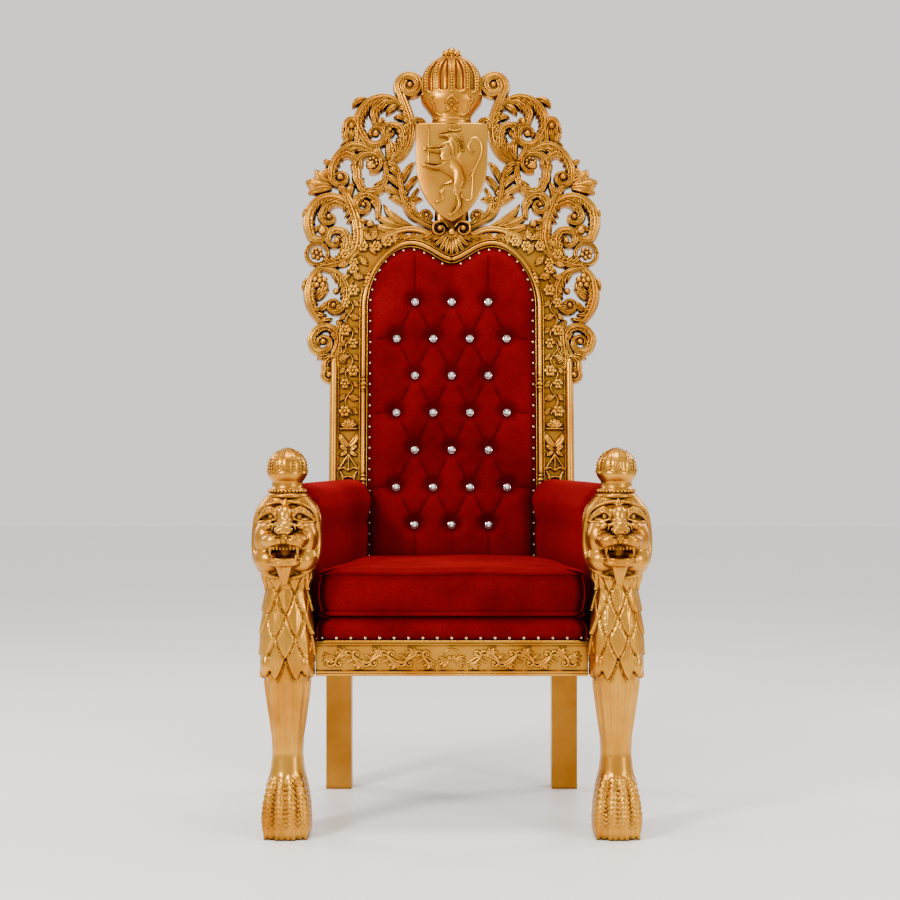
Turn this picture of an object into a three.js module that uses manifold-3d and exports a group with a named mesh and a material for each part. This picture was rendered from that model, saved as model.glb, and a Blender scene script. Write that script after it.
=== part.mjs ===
// A carved and gilded lion throne with velvet upholstery. Millimetres, +Z up, the front faces -Y.
import * as THREE from "three";
import { mergeVertices } from "three/addons/utils/BufferGeometryUtils.js";
import Module from "manifold-3d";

const wasm = await Module();
wasm.setup();

// Driving sizes of the frame and seat
const CLEAR = 0.3; // gap between pieces that touch
const RAIL_BOTTOM = 343;
const RAIL_HEIGHT = 77;
const RAIL_THICK = 40;
const RAIL_LIP = 5; // how far the rail's edge mouldings stand proud
const SEAT_DEPTH = 525; // front rail's face to the back legs' front
const BACK_LEG = 62; // square section
const BACK_LEG_PROUD = 4; // how far it stands outside the stile above it
const POST_SPACING = 710; // between the two lion posts' centres
const POST_HEIGHT = 838.5;
const POST_WIDTH = 152; // across the lion's mane
const POST_BACK = 44; // flat rear of the post, behind the front rail's face
const SEAT_SLACK = 6; // between a post's body and the cushion
const DECK_THICK = 50;
const CUSHION_THICK = 100;
const ARM_WIDTH = 112;
const ARM_HEIGHT = 337; // rail top to the top of the roll
const ARM_PROUD = 7; // how far the arm's rear end stands outside the stile

// Driving sizes of the leaning back
const LEAN = THREE.MathUtils.degToRad(7.5);
const BACK_LENGTH = 1447; // rail top to crown top, along the lean
const BACK_HALF = 303; // half the width across the two stiles
const STILE = 96; // stile's width, both mouldings and the band between
const BOARD = 40; // thickness of the carved board
const MOULD = 24; // width of the arch moulding
const MOULD_PROUD = 12;
const POST_BEAD = 20; // width of the stile's outer bead
const PAD_EDGE = 6; // how far the padding stands proud at its edge
const PAD_CROWN = 26; // and how much more in its middle
const PAD_DEPTH = 24; // padding's depth behind the board's face
const TUFT_ROWS = 7;
const TUFT_PITCH = 91; // between buttons of one row
const TUFT_RISE = 93; // between rows
const TUFT_TOP = 782.5; // height of the top row on the back
const TUFT_DEEP = 20; // how far a button is pulled in below the padding's face
const BUTTON_R = 9.5;
const BUTTON_THICK = 9;
const SHIELD_THICK = 12;
const SHIELD_OFF = 15; // shield's rear, in front of the board's face

const RAIL_TOP = RAIL_BOTTOM + RAIL_HEIGHT;
const DECK_TOP = RAIL_TOP + CLEAR + DECK_THICK;
const OPENING_HALF = BACK_HALF - STILE;
const POST_JOINT = POST_WIDTH * 0.395; // half width of the post's block that takes the rails
const SEAT_HALF = POST_SPACING / 2 - POST_JOINT - SEAT_SLACK;
const ARM_SPLAY = (SEAT_HALF + ARM_WIDTH - BACK_HALF - ARM_PROUD) / (SEAT_DEPTH - POST_BACK);
const LEG_CENTRE = BACK_HALF + BACK_LEG_PROUD - BACK_LEG / 2;

// Colours and finishes of the five materials
function material(color, roughness, metalness) {
  return new THREE.MeshStandardMaterial({ color, roughness, metalness });
}
const gilt = material(0xc98f3a, 0.35, 1);
const velvet = material(0x7a0508, 0.9, 0);
const crystal = material(0xe8e8ee, 0.1, 0.6);
const lining = material(0x5e0406, 0.95, 0);

// Solids to and from three.js geometry

function solid(geometry) {
  const bare = geometry.index ? geometry.toNonIndexed() : geometry.clone();
  bare.deleteAttribute("normal");
  bare.deleteAttribute("uv");
  const merged = mergeVertices(bare, 1e-3);
  const mesh = new wasm.Mesh({
    numProp: 3,
    vertProperties: merged.attributes.position.array,
    triVerts: new Uint32Array(merged.index.array),
  });
  return new wasm.Manifold(mesh);
}

function geometryOf(shape) {
  const mesh = shape.getMesh();
  const geometry = new THREE.BufferGeometry();
  geometry.setAttribute("position", new THREE.BufferAttribute(mesh.vertProperties, 3));
  geometry.setIndex(new THREE.BufferAttribute(mesh.triVerts, 1));
  return geometry;
}

function joined(solids) {
  return solids.reduce((all, next) => all.add(next));
}

const throne = new THREE.Group();
const back = new THREE.Group();
back.position.set(0, SEAT_DEPTH, RAIL_TOP);
back.rotation.x = -LEAN;
throne.add(back);

function piece(name, shape, finish, parent = throne) {
  const mesh = new THREE.Mesh(geometryOf(shape), finish);
  mesh.name = name;
  parent.add(mesh);
}

// Shapes shared by several pieces

// A box from its lowest and highest corners, in a frame of its own where one is given.
function block(low, high, frame = new THREE.Matrix4()) {
  const size = high.map((value, axis) => value - low[axis]);
  const geometry = new THREE.BoxGeometry(...size);
  geometry.translate(...low.map((value, axis) => value + size[axis] / 2));
  geometry.applyMatrix4(frame);
  return solid(geometry);
}

// A plan outline raised from z = low to z = high.
function prism(outline, low, high) {
  const shape = new THREE.Shape(outline.map(([x, y]) => new THREE.Vector2(x, y)));
  const geometry = new THREE.ExtrudeGeometry(shape, { depth: high - low, bevelEnabled: false });
  geometry.translate(0, 0, low);
  return solid(geometry);
}

const CURVE_FACETS = 5; // along each curved stretch of an outline

// An outline drawn on the back's face, u across and v up, from depth front to depth rear.
function slab(shape, front, rear) {
  const geometry = new THREE.ExtrudeGeometry(shape, {
    depth: rear - front,
    bevelEnabled: false,
    curveSegments: CURVE_FACETS,
  });
  geometry.rotateX(Math.PI / 2);
  geometry.translate(0, rear, 0);
  return solid(geometry);
}

// An ellipsoid of radii r about c.
function ball(c, r, around = 8, down = 6) {
  const geometry = new THREE.SphereGeometry(1, around, down);
  geometry.rotateX(Math.PI / 2);
  geometry.scale(...r);
  geometry.translate(...c);
  return solid(geometry);
}

// A solid of rounded sections. Each row is [z, half width, front y, rear y].
// Every second edge is drawn in by the share called flute.
function column(rows, sides, squareness = 0.8, flute = 0) {
  const geometry = new THREE.CylinderGeometry(1, 1, 1, sides, rows.length - 1);
  geometry.rotateX(Math.PI / 2);
  const at = geometry.attributes.position;
  for (let i = 0; i < at.count; i += 1) {
    const [z, half, front, rear] = rows[Math.round((at.getZ(i) + 0.5) * (rows.length - 1))];
    const edge = Math.round((Math.atan2(at.getX(i), at.getY(i)) * sides) / (2 * Math.PI));
    const draw = edge % 2 ? 1 : 1 - flute;
    const x = Math.sign(at.getX(i)) * Math.abs(at.getX(i)) ** squareness * draw;
    const y = Math.sign(at.getY(i)) * Math.abs(at.getY(i)) ** squareness * draw;
    at.setXYZ(i, x * half, (front + rear) / 2 + (y * (rear - front)) / 2, z);
  }
  return solid(geometry);
}

// A tapered strand along a curve, its ridge turned to out.
// sizes gives [half width, height of the ridge, depth below] for shares 0 to 1 of its length.
function strand(points, out, sizes, steps, sides = 3) {
  const curve = new THREE.CatmullRomCurve3(points.map((point) => new THREE.Vector3(...point)));
  const geometry = new THREE.CylinderGeometry(1, 1, 1, sides, steps, false, Math.PI);
  const widest = sides % 4 ? Math.cos(Math.PI / 6) : 1;
  const at = geometry.attributes.position;
  for (let i = 0; i < at.count; i += 1) {
    const t = at.getY(i) + 0.5;
    const along = curve.getTangentAt(t);
    const across = new THREE.Vector3(...out).cross(along).normalize();
    const ridge = new THREE.Vector3().crossVectors(along, across);
    const [half, above, below] = sizes(t);
    const place = curve.getPointAt(t).addScaledVector(across, (at.getX(i) * half) / widest);
    place.addScaledVector(ridge, -at.getZ(i) * (at.getZ(i) < 0 ? above : below));
    at.setXYZ(i, place.x, place.y, place.z);
  }
  return solid(geometry);
}

// A strand on a face that looks to the front, drawn as [u, v] at one level.
const FRONT = [0, -1, 0];

function bar(points, level, sizes, steps, sides = 3) {
  return strand(points.map(([u, v]) => [u, level, v]), FRONT, sizes, steps, sides);
}

// The back's drawing. Carving is drawn at the first size and scaled with the back.

const DRAWN = { half: 303, length: 1447 };
const wide = BACK_HALF / DRAWN.half;
const tall = BACK_LENGTH / DRAWN.length;
const drawn = (u, v) => [u * wide, v * tall];

// The heart-topped opening, its edge moved outwards by grow.
function archPath(shape, grow, side) {
  const edge = OPENING_HALF + grow;
  const [hump, top] = drawn(102, 922);
  const [, dip] = drawn(0, 880);
  const [, spring] = drawn(0, 770);
  const drop = grow * 0.35;
  if (side > 0) {
    shape.lineTo(edge, spring);
    shape.bezierCurveTo(edge, spring + 85 * tall, hump + 55, top + grow, hump, top + grow);
    shape.bezierCurveTo(hump - 42, top + grow, 30, dip + grow + drop, 0, dip + grow);
  } else {
    shape.bezierCurveTo(-30, dip + grow + drop, 42 - hump, top + grow, -hump, top + grow);
    shape.bezierCurveTo(-hump - 55, top + grow, -edge, spring + 85 * tall, -edge, spring);
  }
}

function opening(grow, bottom, Kind = THREE.Shape) {
  const shape = new Kind();
  const edge = OPENING_HALF + grow;
  shape.moveTo(-edge, bottom);
  shape.lineTo(edge, bottom);
  archPath(shape, grow, 1);
  archPath(shape, grow, -1);
  shape.closePath();
  return shape;
}

const OPENING_BOTTOM = 30;
const PAD_BOTTOM = OPENING_BOTTOM + CLEAR;

// A scroll's line: its stem, then a spiral of so many turns in towards its eye.
function scrollLine(side, { stem, eye, turns = 0, half }) {
  const line = stem.map(([u, v]) => drawn(u, v));
  if (eye) {
    const [eyeU, eyeV] = drawn(...eye);
    const [lastU, lastV] = line[line.length - 1];
    const radius = Math.hypot(lastU - eyeU, lastV - eyeV);
    const core = Math.max(0.36, (half[2] + 2) / radius);
    const start = Math.atan2(lastV - eyeV, lastU - eyeU);
    const count = Math.max(3, Math.ceil(Math.abs(turns) * 6));
    for (let i = 1; i <= count; i += 1) {
      const share = i / count;
      const angle = start + 2 * Math.PI * turns * share;
      const reach = radius * (1 - (1 - core) * share);
      line.push([eyeU + reach * Math.cos(angle), eyeV + reach * Math.sin(angle)]);
    }
  }
  return line.map(([u, v]) => [side * u, v]);
}

// Half width: start, fullest and end, the fullest at the share called swell.
function taper([first, full, last], swell = 0.45) {
  return (t) => {
    const share = t < swell ? t / swell : (1 - t) / (1 - swell);
    const from = t < swell ? first : last;
    return from + (full - from) * Math.sin((share * Math.PI) / 2);
  };
}

// The main scrolls of one side of the crest, from the crown down to the stile.
const SCROLLS = [
  { stem: [[163, 1140], [128, 1158], [106, 1195], [101, 1232], [108, 1270], [122, 1303], [136, 1330]],
    eye: [107, 1344], turns: 1.15, half: [5, 9, 7] },
  { stem: [[118, 1286], [148, 1313], [182, 1317], [214, 1303], [236, 1272], [240, 1238], [226, 1208]],
    eye: [190, 1216], turns: -0.95, half: [5, 10, 5] },
  { stem: [[242, 1186], [234, 1218], [238, 1246], [254, 1260], [269, 1248], [272, 1224], [266, 1200],
      [281, 1186]],
    half: [5, 13, 4] },
  { stem: [[172, 1138], [194, 1170], [225, 1190], [258, 1190], [288, 1166], [304, 1132], [306, 1105]],
    eye: [281, 1110], turns: -0.95, half: [5, 9, 6] },
  { stem: [[166, 1146], [168, 1105], [181, 1079], [204, 1070], [227, 1081], [235, 1108]],
    eye: [206, 1132], turns: 0.8, half: [6, 10, 7] },
  { stem: [[246, 1000], [262, 1040], [296, 1058], [332, 1051], [356, 1027], [362, 990], [354, 962]],
    eye: [331, 972], turns: -0.85, half: [7, 12, 6] },
  { stem: [[270, 1078], [254, 1040], [240, 1000], [233, 958], [237, 924], [257, 897], [290, 882], [326, 880]],
    half: [5, 13, 9] },
  { stem: [[312, 880], [280, 898], [264, 922], [260, 950], [276, 969], [298, 972]],
    eye: [299, 953], turns: -0.8, half: [6, 10, 5] },
  { stem: [[334, 880], [302, 871], [276, 852], [262, 818], [264, 786], [279, 764]],
    eye: [295, 775], turns: 0.8, half: [6, 9, 6] },
  { stem: [[318, 884], [348, 852], [354, 812], [348, 776], [332, 744], [312, 716]],
    half: [7, 14, 7] },
  { stem: [[294, 640], [285, 676], [290, 704], [310, 720], [334, 715], [346, 693], [342, 668]],
    eye: [321, 690], turns: -0.95, half: [7, 10, 7] },
  { stem: [[284, 612], [284, 640], [302, 648], [315, 632], [315, 610]],
    eye: [305, 596], turns: -0.6, half: [8, 9, 6] },
  { stem: [[186, 998], [186, 1040], [203, 1061], [227, 1061]],
    eye: [220, 1034], turns: -0.85, half: [6, 8, 5] },
  { stem: [[40, 972], [72, 988], [104, 1006], [122, 1044], [122, 1090], [100, 1132], [90, 1144]],
    half: [7, 8, 4] },
  { stem: [[158, 1142], [130, 1170], [119, 1205], [130, 1238], [150, 1246], [165, 1232]],
    half: [5, 10, 5] },
  { stem: [[150, 1314], [188, 1302], [203, 1278], [194, 1256], [178, 1246]],
    half: [6, 10, 7] },
];

// Acanthus lobes: root, tip, how far the blade bows to its left, and half width.
const LOBES = [
  [[110, 978], [192, 1012], -9, 10],
  [[120, 970], [190, 952], -10, 9],
  [[40, 982], [78, 946], -10, 8],
  [[122, 1074], [166, 1124], 8, 8],
  [[166, 1146], [188, 1194], -8, 8],
  [[160, 1146], [164, 1214], 6, 9],
  [[262, 1046], [290, 1086], 6, 8],
  [[292, 1094], [364, 1092], -4, 15],
  [[340, 800], [318, 846], 6, 11],
];

const SCROLL_LEVEL = 8; // middle of the scrollwork, behind the board's face
const SCROLL_FRONT = 20;
const SCROLL_REAR = 24;
const SCROLL_STEP = 44; // length of one facet along a scroll
const SCROLL_FULL = 1.25; // carved half width over the drawn one

function lengthOf(line) {
  return line.slice(1).reduce((sum, [u, v], i) => sum + Math.hypot(u - line[i][0], v - line[i][1]), 0);
}

function scroll(side, drawing) {
  const line = scrollLine(side, drawing);
  const carved = drawing.half.map((drawnHalf) => drawnHalf * SCROLL_FULL);
  const half = taper(carved);
  const fullest = carved[1];
  const sizes = (t) => {
    const fullness = 0.6 + (0.4 * half(t)) / fullest;
    return [half(t), SCROLL_FRONT * fullness, SCROLL_REAR * fullness];
  };
  const steps = Math.max(4, Math.round(lengthOf(line) / SCROLL_STEP));
  return bar(line, SCROLL_LEVEL, sizes, steps);
}

function lobe(side, [root, tip, bow, half], level = SCROLL_LEVEL) {
  const [rootU, rootV] = drawn(...root);
  const [tipU, tipV] = drawn(...tip);
  const reach = Math.hypot(tipU - rootU, tipV - rootV);
  const middle = [
    (rootU + tipU) / 2 - (bow * (tipV - rootV)) / reach,
    (rootV + tipV) / 2 + (bow * (tipU - rootU)) / reach,
  ];
  const line = [[rootU, rootV], middle, [tipU, tipV]].map(([u, v]) => [side * u, v]);
  const sizes = (t) => {
    const swell = 0.45 + 0.55 * Math.sin(Math.PI * Math.min(1, t * 1.25));
    const point = 1 - 0.8 * Math.max(0, t - 0.6) / 0.4;
    return [half * swell * point, SCROLL_FRONT * 0.85 * point + 3, SCROLL_REAR * 0.8 * point + 3];
  };
  return bar(line, level, sizes, 2);
}

// The crown on top, carved in half depth: bowl, rim, ribbed dome and a three-leaved finial.

const CROWN_REAR = 16; // how far its flat rear stands behind the board's face
const CROWN_DEEP = 0.62; // its depth in front as a share of its half width

function crown() {
  // Each row is [v, half width], from the foot up.
  const bowl = [[1251, 48], [1264, 53], [1280, 64], [1300, 80], [1322, 84]];
  const dome = [[1318, 80], [1346, 84], [1372, 83], [1396, 67], [1412, 42], [1424, 14]];
  const section = ([v, half]) => {
    const [u, height] = drawn(half, v);
    return [height, u, -u * CROWN_DEEP, CROWN_REAR];
  };
  const parts = [column(bowl.map(section), 10, 0.9), column(dome.map(section), 20, 0.9, 0.16)];
  for (const side of [-1, 0, 1]) {
    const leaf = [[0, 1424], [side * 12, 1434], [side * 20, 1445 - Math.abs(side) * 8]];
    parts.push(bar(leaf.map(([u, v]) => drawn(u, v)), -2, (t) => [9 - 4 * t, 10, 12], 2));
  }
  const [, top] = drawn(0, DRAWN.length);
  const roof = block([-BACK_HALF, -BACK_HALF, top], [BACK_HALF, BACK_HALF, 2 * top]);
  return joined(parts).subtract(roof);
}

// The carved back: board, stile mouldings, arch moulding, band carving and open scrollwork, one carved piece.

function boardOutline() {
  const right = [
    [0, 0], [0, 620], [-20, 650], [-32, 700], [-36, 760], [-40, 860], [-62, 900], [-66, 958],
    [-100, 988], [-150, 968], [-200, 962], [-250, 968],
  ].map(([inset, v]) => [BACK_HALF + inset * wide, v * tall]);
  const left = right.map(([u, v]) => [-u, v]).reverse();
  return new THREE.Shape([...right, ...left].map(([u, v]) => new THREE.Vector2(u, v)));
}

// Middle line of the arch moulding on one side, from the foot up to the dip of the heart.
function archLine(side) {
  const path = new THREE.Path();
  path.moveTo(OPENING_HALF + MOULD / 2, 0);
  archPath(path, MOULD / 2, 1);
  const points = path.getPoints(CURVE_FACETS).map(({ x, y }) => [side * x, y]);
  points.splice(1, 0, [side * (OPENING_HALF + MOULD / 2), 330 * tall]);
  return points;
}

function rosette(u, v, radius) {
  return ball([u, 0, v], [radius, 9, radius], 5, 2);
}

function carvedBack() {
  const parts = [slab(boardOutline(), 0, BOARD)];
  const shieldBacking = [[-46, 940], [46, 940], [46, 1100], [40, 1266], [-40, 1266], [-46, 1100]];
  const backing = shieldBacking.map(([u, v]) => new THREE.Vector2(...drawn(u, v)));
  parts.push(slab(new THREE.Shape(backing), 0, SCROLL_REAR + SCROLL_LEVEL));
  const beadHalf = POST_BEAD / 2;
  const bandMiddle = BACK_HALF - POST_BEAD - (STILE - POST_BEAD - MOULD) / 2;
  for (const side of [-1, 1]) {
    const bead = [[side * (BACK_HALF - beadHalf), 0], [side * (BACK_HALF - beadHalf), 622 * tall]];
    parts.push(bar(bead, 1, () => [beadHalf, MOULD_PROUD + 3, 8], 1, 6));
    const mould = () => [MOULD / 2, MOULD_PROUD, 8];
    parts.push(bar(archLine(side), 0, mould, 14, 4));
    SCROLLS.forEach((drawing) => parts.push(scroll(side, drawing)));
    LOBES.forEach((drawing) => parts.push(lobe(side, drawing)));
    for (let v = 120; v < 760; v += 64) {
      const sway = (v / 64) % 2 < 1 ? 9 : -9;
      parts.push(rosette(side * (bandMiddle + sway), v * tall, 12));
    }
    const [flowerU, flowerV] = drawn(338, 908);
    const [flowerHalf, flowerRise] = drawn(30, 30);
    parts.push(ball([side * flowerU, SCROLL_LEVEL, flowerV], [flowerHalf, 12, flowerRise], 6, 3));
  }
  const shell = 5;
  for (let i = 0; i < shell; i += 1) {
    const angle = Math.PI * (1.12 + (0.76 * i) / (shell - 1));
    const tip = [46 * Math.cos(angle), 950 + 50 * Math.sin(angle)];
    parts.push(lobe(1, [[0, 958], tip, 0, 7], -2));
  }
  parts.push(ball([0, -6, 958 * tall], [15, 14, 13], 8, 4), crown());
  for (const side of [-1, 1]) {
    parts.push(scroll(side, { stem: [[6, 944], [10, 970]], eye: [25, 968], turns: -0.8, half: [5, 6, 5] }));
  }
  const far = 2 * DRAWN.length;
  const upright = new THREE.Matrix4().makeRotationX(LEAN);
  const belowRail = block([-far, -far, -far], [far, far, CLEAR], upright);
  return joined(parts).subtract(slab(opening(0, OPENING_BOTTOM), -40, BOARD + 1)).subtract(belowRail);
}

piece("carved_back", carvedBack(), gilt, back);

// The shield: a heater-shaped board with a crowned rampant lion in low relief.

function shieldShape() {
  const shape = new THREE.Shape();
  shape.moveTo(...drawn(0, 985));
  shape.bezierCurveTo(...drawn(55, 1010), ...drawn(90, 1070), ...drawn(90, 1140));
  shape.lineTo(...drawn(92, 1240));
  shape.lineTo(...drawn(52, 1249));
  shape.lineTo(...drawn(-52, 1249));
  shape.lineTo(...drawn(-92, 1240));
  shape.lineTo(...drawn(-90, 1140));
  shape.bezierCurveTo(...drawn(-90, 1070), ...drawn(-55, 1010), ...drawn(0, 985));
  return shape;
}

// Each stroke of the lion: its line, then half width at the start, middle and end.
const RAMPANT = [
  { line: [[-6, 1192], [2, 1160], [4, 1120], [14, 1080]], half: [16, 13, 12] }, // body
  { line: [[-30, 1208], [-14, 1206], [6, 1196]], half: [6, 11, 12] }, // head and mane
  { line: [[-14, 1222], [2, 1222]], half: [5, 7, 5] }, // its crown
  { line: [[-8, 1178], [-36, 1184], [-62, 1178]], half: [8, 7, 5] }, // upper foreleg
  { line: [[-4, 1152], [-34, 1146], [-58, 1150]], half: [7, 6, 5] }, // lower foreleg
  { line: [[10, 1086], [-22, 1082], [-40, 1062], [-34, 1046]], half: [11, 9, 5] }, // raised hind leg
  { line: [[20, 1080], [24, 1052], [6, 1034], [2, 1012]], half: [11, 8, 5] }, // standing hind leg
  { line: [[26, 1070], [46, 1048], [60, 1070], [62, 1108], [72, 1152], [60, 1184]], half: [4, 4, 6] }, // tail
  { line: [[-62, 1168], [-62, 1232]], half: [4, 4, 1] }, // sword
];

function shield() {
  const face = SHIELD_OFF + SHIELD_THICK;
  const spacer = [[-22, 1050], [22, 1050], [22, 1210], [-22, 1210]];
  const spacerShape = new THREE.Shape(spacer.map(([u, v]) => new THREE.Vector2(...drawn(u, v))));
  const parts = [slab(shieldShape(), -face, -SHIELD_OFF), slab(spacerShape, -SHIELD_OFF - 1, -CLEAR)];
  for (const { line, half } of RAMPANT) {
    const halfAt = taper(half, 0.5);
    parts.push(bar(line.map(([u, v]) => drawn(u, v)), -face, (t) => [halfAt(t), 6, 8], line.length - 1));
  }
  return joined(parts);
}

piece("shield", shield(), gilt, back);

// The tufted padding of the back, its buttons, and the panel that closes it behind.

const PAD_FACE = -(PAD_EDGE + PAD_CROWN);

const tufts = [];
for (let row = 0; row < TUFT_ROWS; row += 1) {
  const count = row % 2 ? 4 : 3;
  for (let i = 0; i < count; i += 1) {
    const u = (i - (count - 1) / 2) * TUFT_PITCH;
    tufts.push({ name: `back_button_r${row + 1}_${i + 1}`, u, v: TUFT_TOP - row * TUFT_RISE });
  }
}

// A diamond-shaped hollow around each button, down to a small flat floor.
function tuftHollow({ u, v }) {
  const floor = BUTTON_R * 1.5;
  const geometry = new THREE.CylinderGeometry(floor, TUFT_PITCH / 2 - 3, TUFT_DEEP + 1, 4);
  geometry.scale(1, 1, 1.3);
  geometry.translate(u, PAD_FACE + (TUFT_DEEP - 1) / 2, v);
  return solid(geometry);
}

function backPad() {
  const inset = PAD_CROWN * 1.3;
  const geometry = new THREE.ExtrudeGeometry(opening(-CLEAR, PAD_BOTTOM), {
    depth: PAD_DEPTH + PAD_EDGE,
    bevelThickness: PAD_CROWN,
    bevelSize: inset,
    bevelOffset: -inset,
    bevelSegments: 2,
    curveSegments: CURVE_FACETS,
  });
  geometry.rotateX(Math.PI / 2);
  geometry.translate(0, PAD_DEPTH, 0);
  const behind = block([-BACK_HALF, PAD_DEPTH, 0], [BACK_HALF, PAD_DEPTH + 2 * PAD_CROWN, BACK_LENGTH]);
  return solid(geometry).subtract(behind).subtract(joined(tufts.map(tuftHollow)));
}

piece("back_pad", backPad(), velvet, back);

for (const { name, u, v } of tufts) {
  const seat = PAD_FACE + TUFT_DEEP - CLEAR;
  const geometry = new THREE.CylinderGeometry(BUTTON_R, BUTTON_R * 0.55, BUTTON_THICK, 5);
  geometry.translate(0, -BUTTON_THICK / 2, 0);
  const button = new THREE.Mesh(geometry, crystal);
  button.name = name;
  button.position.set(u, seat, v);
  back.add(button);
}

piece("rear_panel", slab(opening(-CLEAR, PAD_BOTTOM), PAD_DEPTH + CLEAR, BOARD - CLEAR), lining, back);

// Rails and back legs of the seat frame.

const RAIL_END = POST_SPACING / 2 - POST_JOINT - CLEAR;

function frontRail() {
  const lip = 13;
  const parts = [block([-RAIL_END, 0, RAIL_BOTTOM], [RAIL_END, RAIL_THICK, RAIL_TOP])];
  for (const edge of [RAIL_BOTTOM + lip / 2, RAIL_TOP - lip / 2]) {
    const line = [[-RAIL_END, edge], [RAIL_END, edge]];
    parts.push(bar(line, 1, () => [lip / 2, RAIL_LIP + 1, 2], 1, 4));
  }
  // Vine scrolls run from the bow in the middle to either end, turning up and down by turns.
  const middle = (RAIL_BOTTOM + RAIL_TOP) / 2;
  const swing = RAIL_HEIGHT / 2 - lip - 5;
  const scrolls = 3;
  const reach = (RAIL_END - 60) / scrolls;
  for (const side of [-1, 1]) {
    for (let i = 0; i < scrolls; i += 1) {
      const up = i % 2 ? -1 : 1;
      const start = 36 + i * reach;
      const stem = [[0, -up], [0.35, 0.4 * up], [0.75, up], [0.98, 0.2 * up], [0.8, -0.45 * up], [0.62, 0]];
      const line = stem.map(([along, rise]) => [side * (start + along * reach), middle + rise * swing]);
      parts.push(bar(line, 0, (t) => [3 + 3 * Math.sin(Math.PI * t), 4, 2], 5));
    }
    const loop = [[0, middle + 4], [side * 16, middle + 11], [side * 30, middle - 4]];
    parts.push(bar(loop, 0, () => [7, 5, 2], 2));
  }
  parts.push(ball([0, 0, middle], [7, 6, 9], 6, 4));
  return joined(parts);
}

piece("front_rail", frontRail(), gilt);

for (const [name, side] of [["left", -1], ["right", 1]]) {
  const frontOuter = SEAT_HALF + ARM_WIDTH - 6;
  const rearOuter = LEG_CENTRE + BACK_LEG / 2 - 3;
  const plan = [
    [frontOuter - RAIL_THICK, POST_BACK + CLEAR], [frontOuter, POST_BACK + CLEAR],
    [rearOuter, SEAT_DEPTH - CLEAR], [rearOuter - RAIL_THICK, SEAT_DEPTH - CLEAR],
  ];
  piece(`side_rail_${name}`, prism(plan.map(([x, y]) => [side * x, y]), RAIL_BOTTOM, RAIL_TOP), gilt);

  const leg = new THREE.Mesh(new THREE.BoxGeometry(BACK_LEG, BACK_LEG, RAIL_TOP), gilt);
  leg.name = `back_leg_${name}`;
  leg.position.set(side * LEG_CENTRE, SEAT_DEPTH + BACK_LEG / 2, RAIL_TOP / 2);
  throne.add(leg);
}

const rearRail = new THREE.Mesh(
  new THREE.BoxGeometry(2 * LEG_CENTRE - BACK_LEG - 2 * CLEAR, RAIL_THICK, RAIL_HEIGHT),
  gilt,
);
rearRail.name = "rear_rail";
rearRail.position.set(0, SEAT_DEPTH + BACK_LEG / 2, RAIL_BOTTOM + RAIL_HEIGHT / 2);
throne.add(rearRail);

// Seat: the sprung deck on the rails and the loose box cushion.

// Plan of what lies between the arms, from its front line back to the padding.
function seatPlan(front) {
  const rear = SEAT_DEPTH + PAD_FACE - CLEAR;
  const half = SEAT_HALF - CLEAR;
  const rearHalf = half - ARM_SPLAY * (rear - POST_BACK);
  const right = [[half, front], [half, POST_BACK], [rearHalf, rear]];
  const left = [[-rearHalf, rear], [-half, POST_BACK], [-half, front]];
  return [...right, ...left];
}

piece("seat_deck", prism(seatPlan(1), RAIL_TOP + CLEAR, DECK_TOP), velvet);

function seatCushion() {
  const round = 12;
  const plan = seatPlan(0).map(([x, y]) => new THREE.Vector2(x, y));
  const geometry = new THREE.ExtrudeGeometry(new THREE.Shape(plan), {
    depth: CUSHION_THICK - 2 * round,
    bevelThickness: round,
    bevelSize: round,
    bevelOffset: -round,
    bevelSegments: 2,
  });
  geometry.translate(0, 0, DECK_TOP + CLEAR + round);
  // The manes overhang the cushion's front corners.
  const maneEdge = POST_SPACING / 2 - POST_WIDTH / 2 - CLEAR;
  const maneBottom = POST_HEIGHT * 0.66;
  const manes = [-1, 1].map((side) => {
    const far = side * POST_SPACING;
    const near = side * maneEdge;
    return block(
      [Math.min(near, far), -SEAT_DEPTH, maneBottom],
      [Math.max(near, far), POST_BACK + CLEAR, RAIL_TOP + POST_HEIGHT],
    );
  });
  return solid(geometry).subtract(joined(manes));
}

piece("seat_cushion", seatCushion(), velvet);

// Rolled arms, padded all over, from the lion posts to the back.

function arm(side) {
  const roll = ARM_WIDTH / 2;
  const profile = new THREE.Shape();
  profile.moveTo(-roll, CLEAR);
  profile.lineTo(roll, CLEAR);
  profile.absarc(0, ARM_HEIGHT - roll, roll, 0, Math.PI, false);
  profile.closePath();
  const lean = Math.tan(LEAN) * ARM_HEIGHT;
  const depth = SEAT_DEPTH - POST_BACK + lean + BOARD;
  const geometry = new THREE.ExtrudeGeometry(profile, { depth, bevelEnabled: false, curveSegments: 8 });
  geometry.rotateX(Math.PI / 2);
  const splay = new THREE.Matrix4().set(
    1, -side * ARM_SPLAY, 0, side * (SEAT_HALF + roll),
    0, 1, 0, POST_BACK + CLEAR,
    0, 0, 1, RAIL_TOP,
    0, 0, 0, 1,
  );
  geometry.translate(0, depth, 0);
  geometry.applyMatrix4(splay);
  const frame = new THREE.Matrix4().makeRotationX(-LEAN).setPosition(0, SEAT_DEPTH, RAIL_TOP);
  const far = 2 * DRAWN.length;
  const board = block([-far, -MOULD_PROUD - 3 - CLEAR, -far], [far, far, far], frame);
  const padHalf = OPENING_HALF + CLEAR;
  const pad = block([-padHalf, PAD_FACE - CLEAR, -far], [padHalf, far, far], frame);
  return solid(geometry).subtract(board).subtract(pad);
}

piece("arm_left", arm(-1), velvet);
piece("arm_right", arm(1), velvet);

// Lion posts: paw, leg, leafy body, head and crowned finial, each post carved in one.

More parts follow.
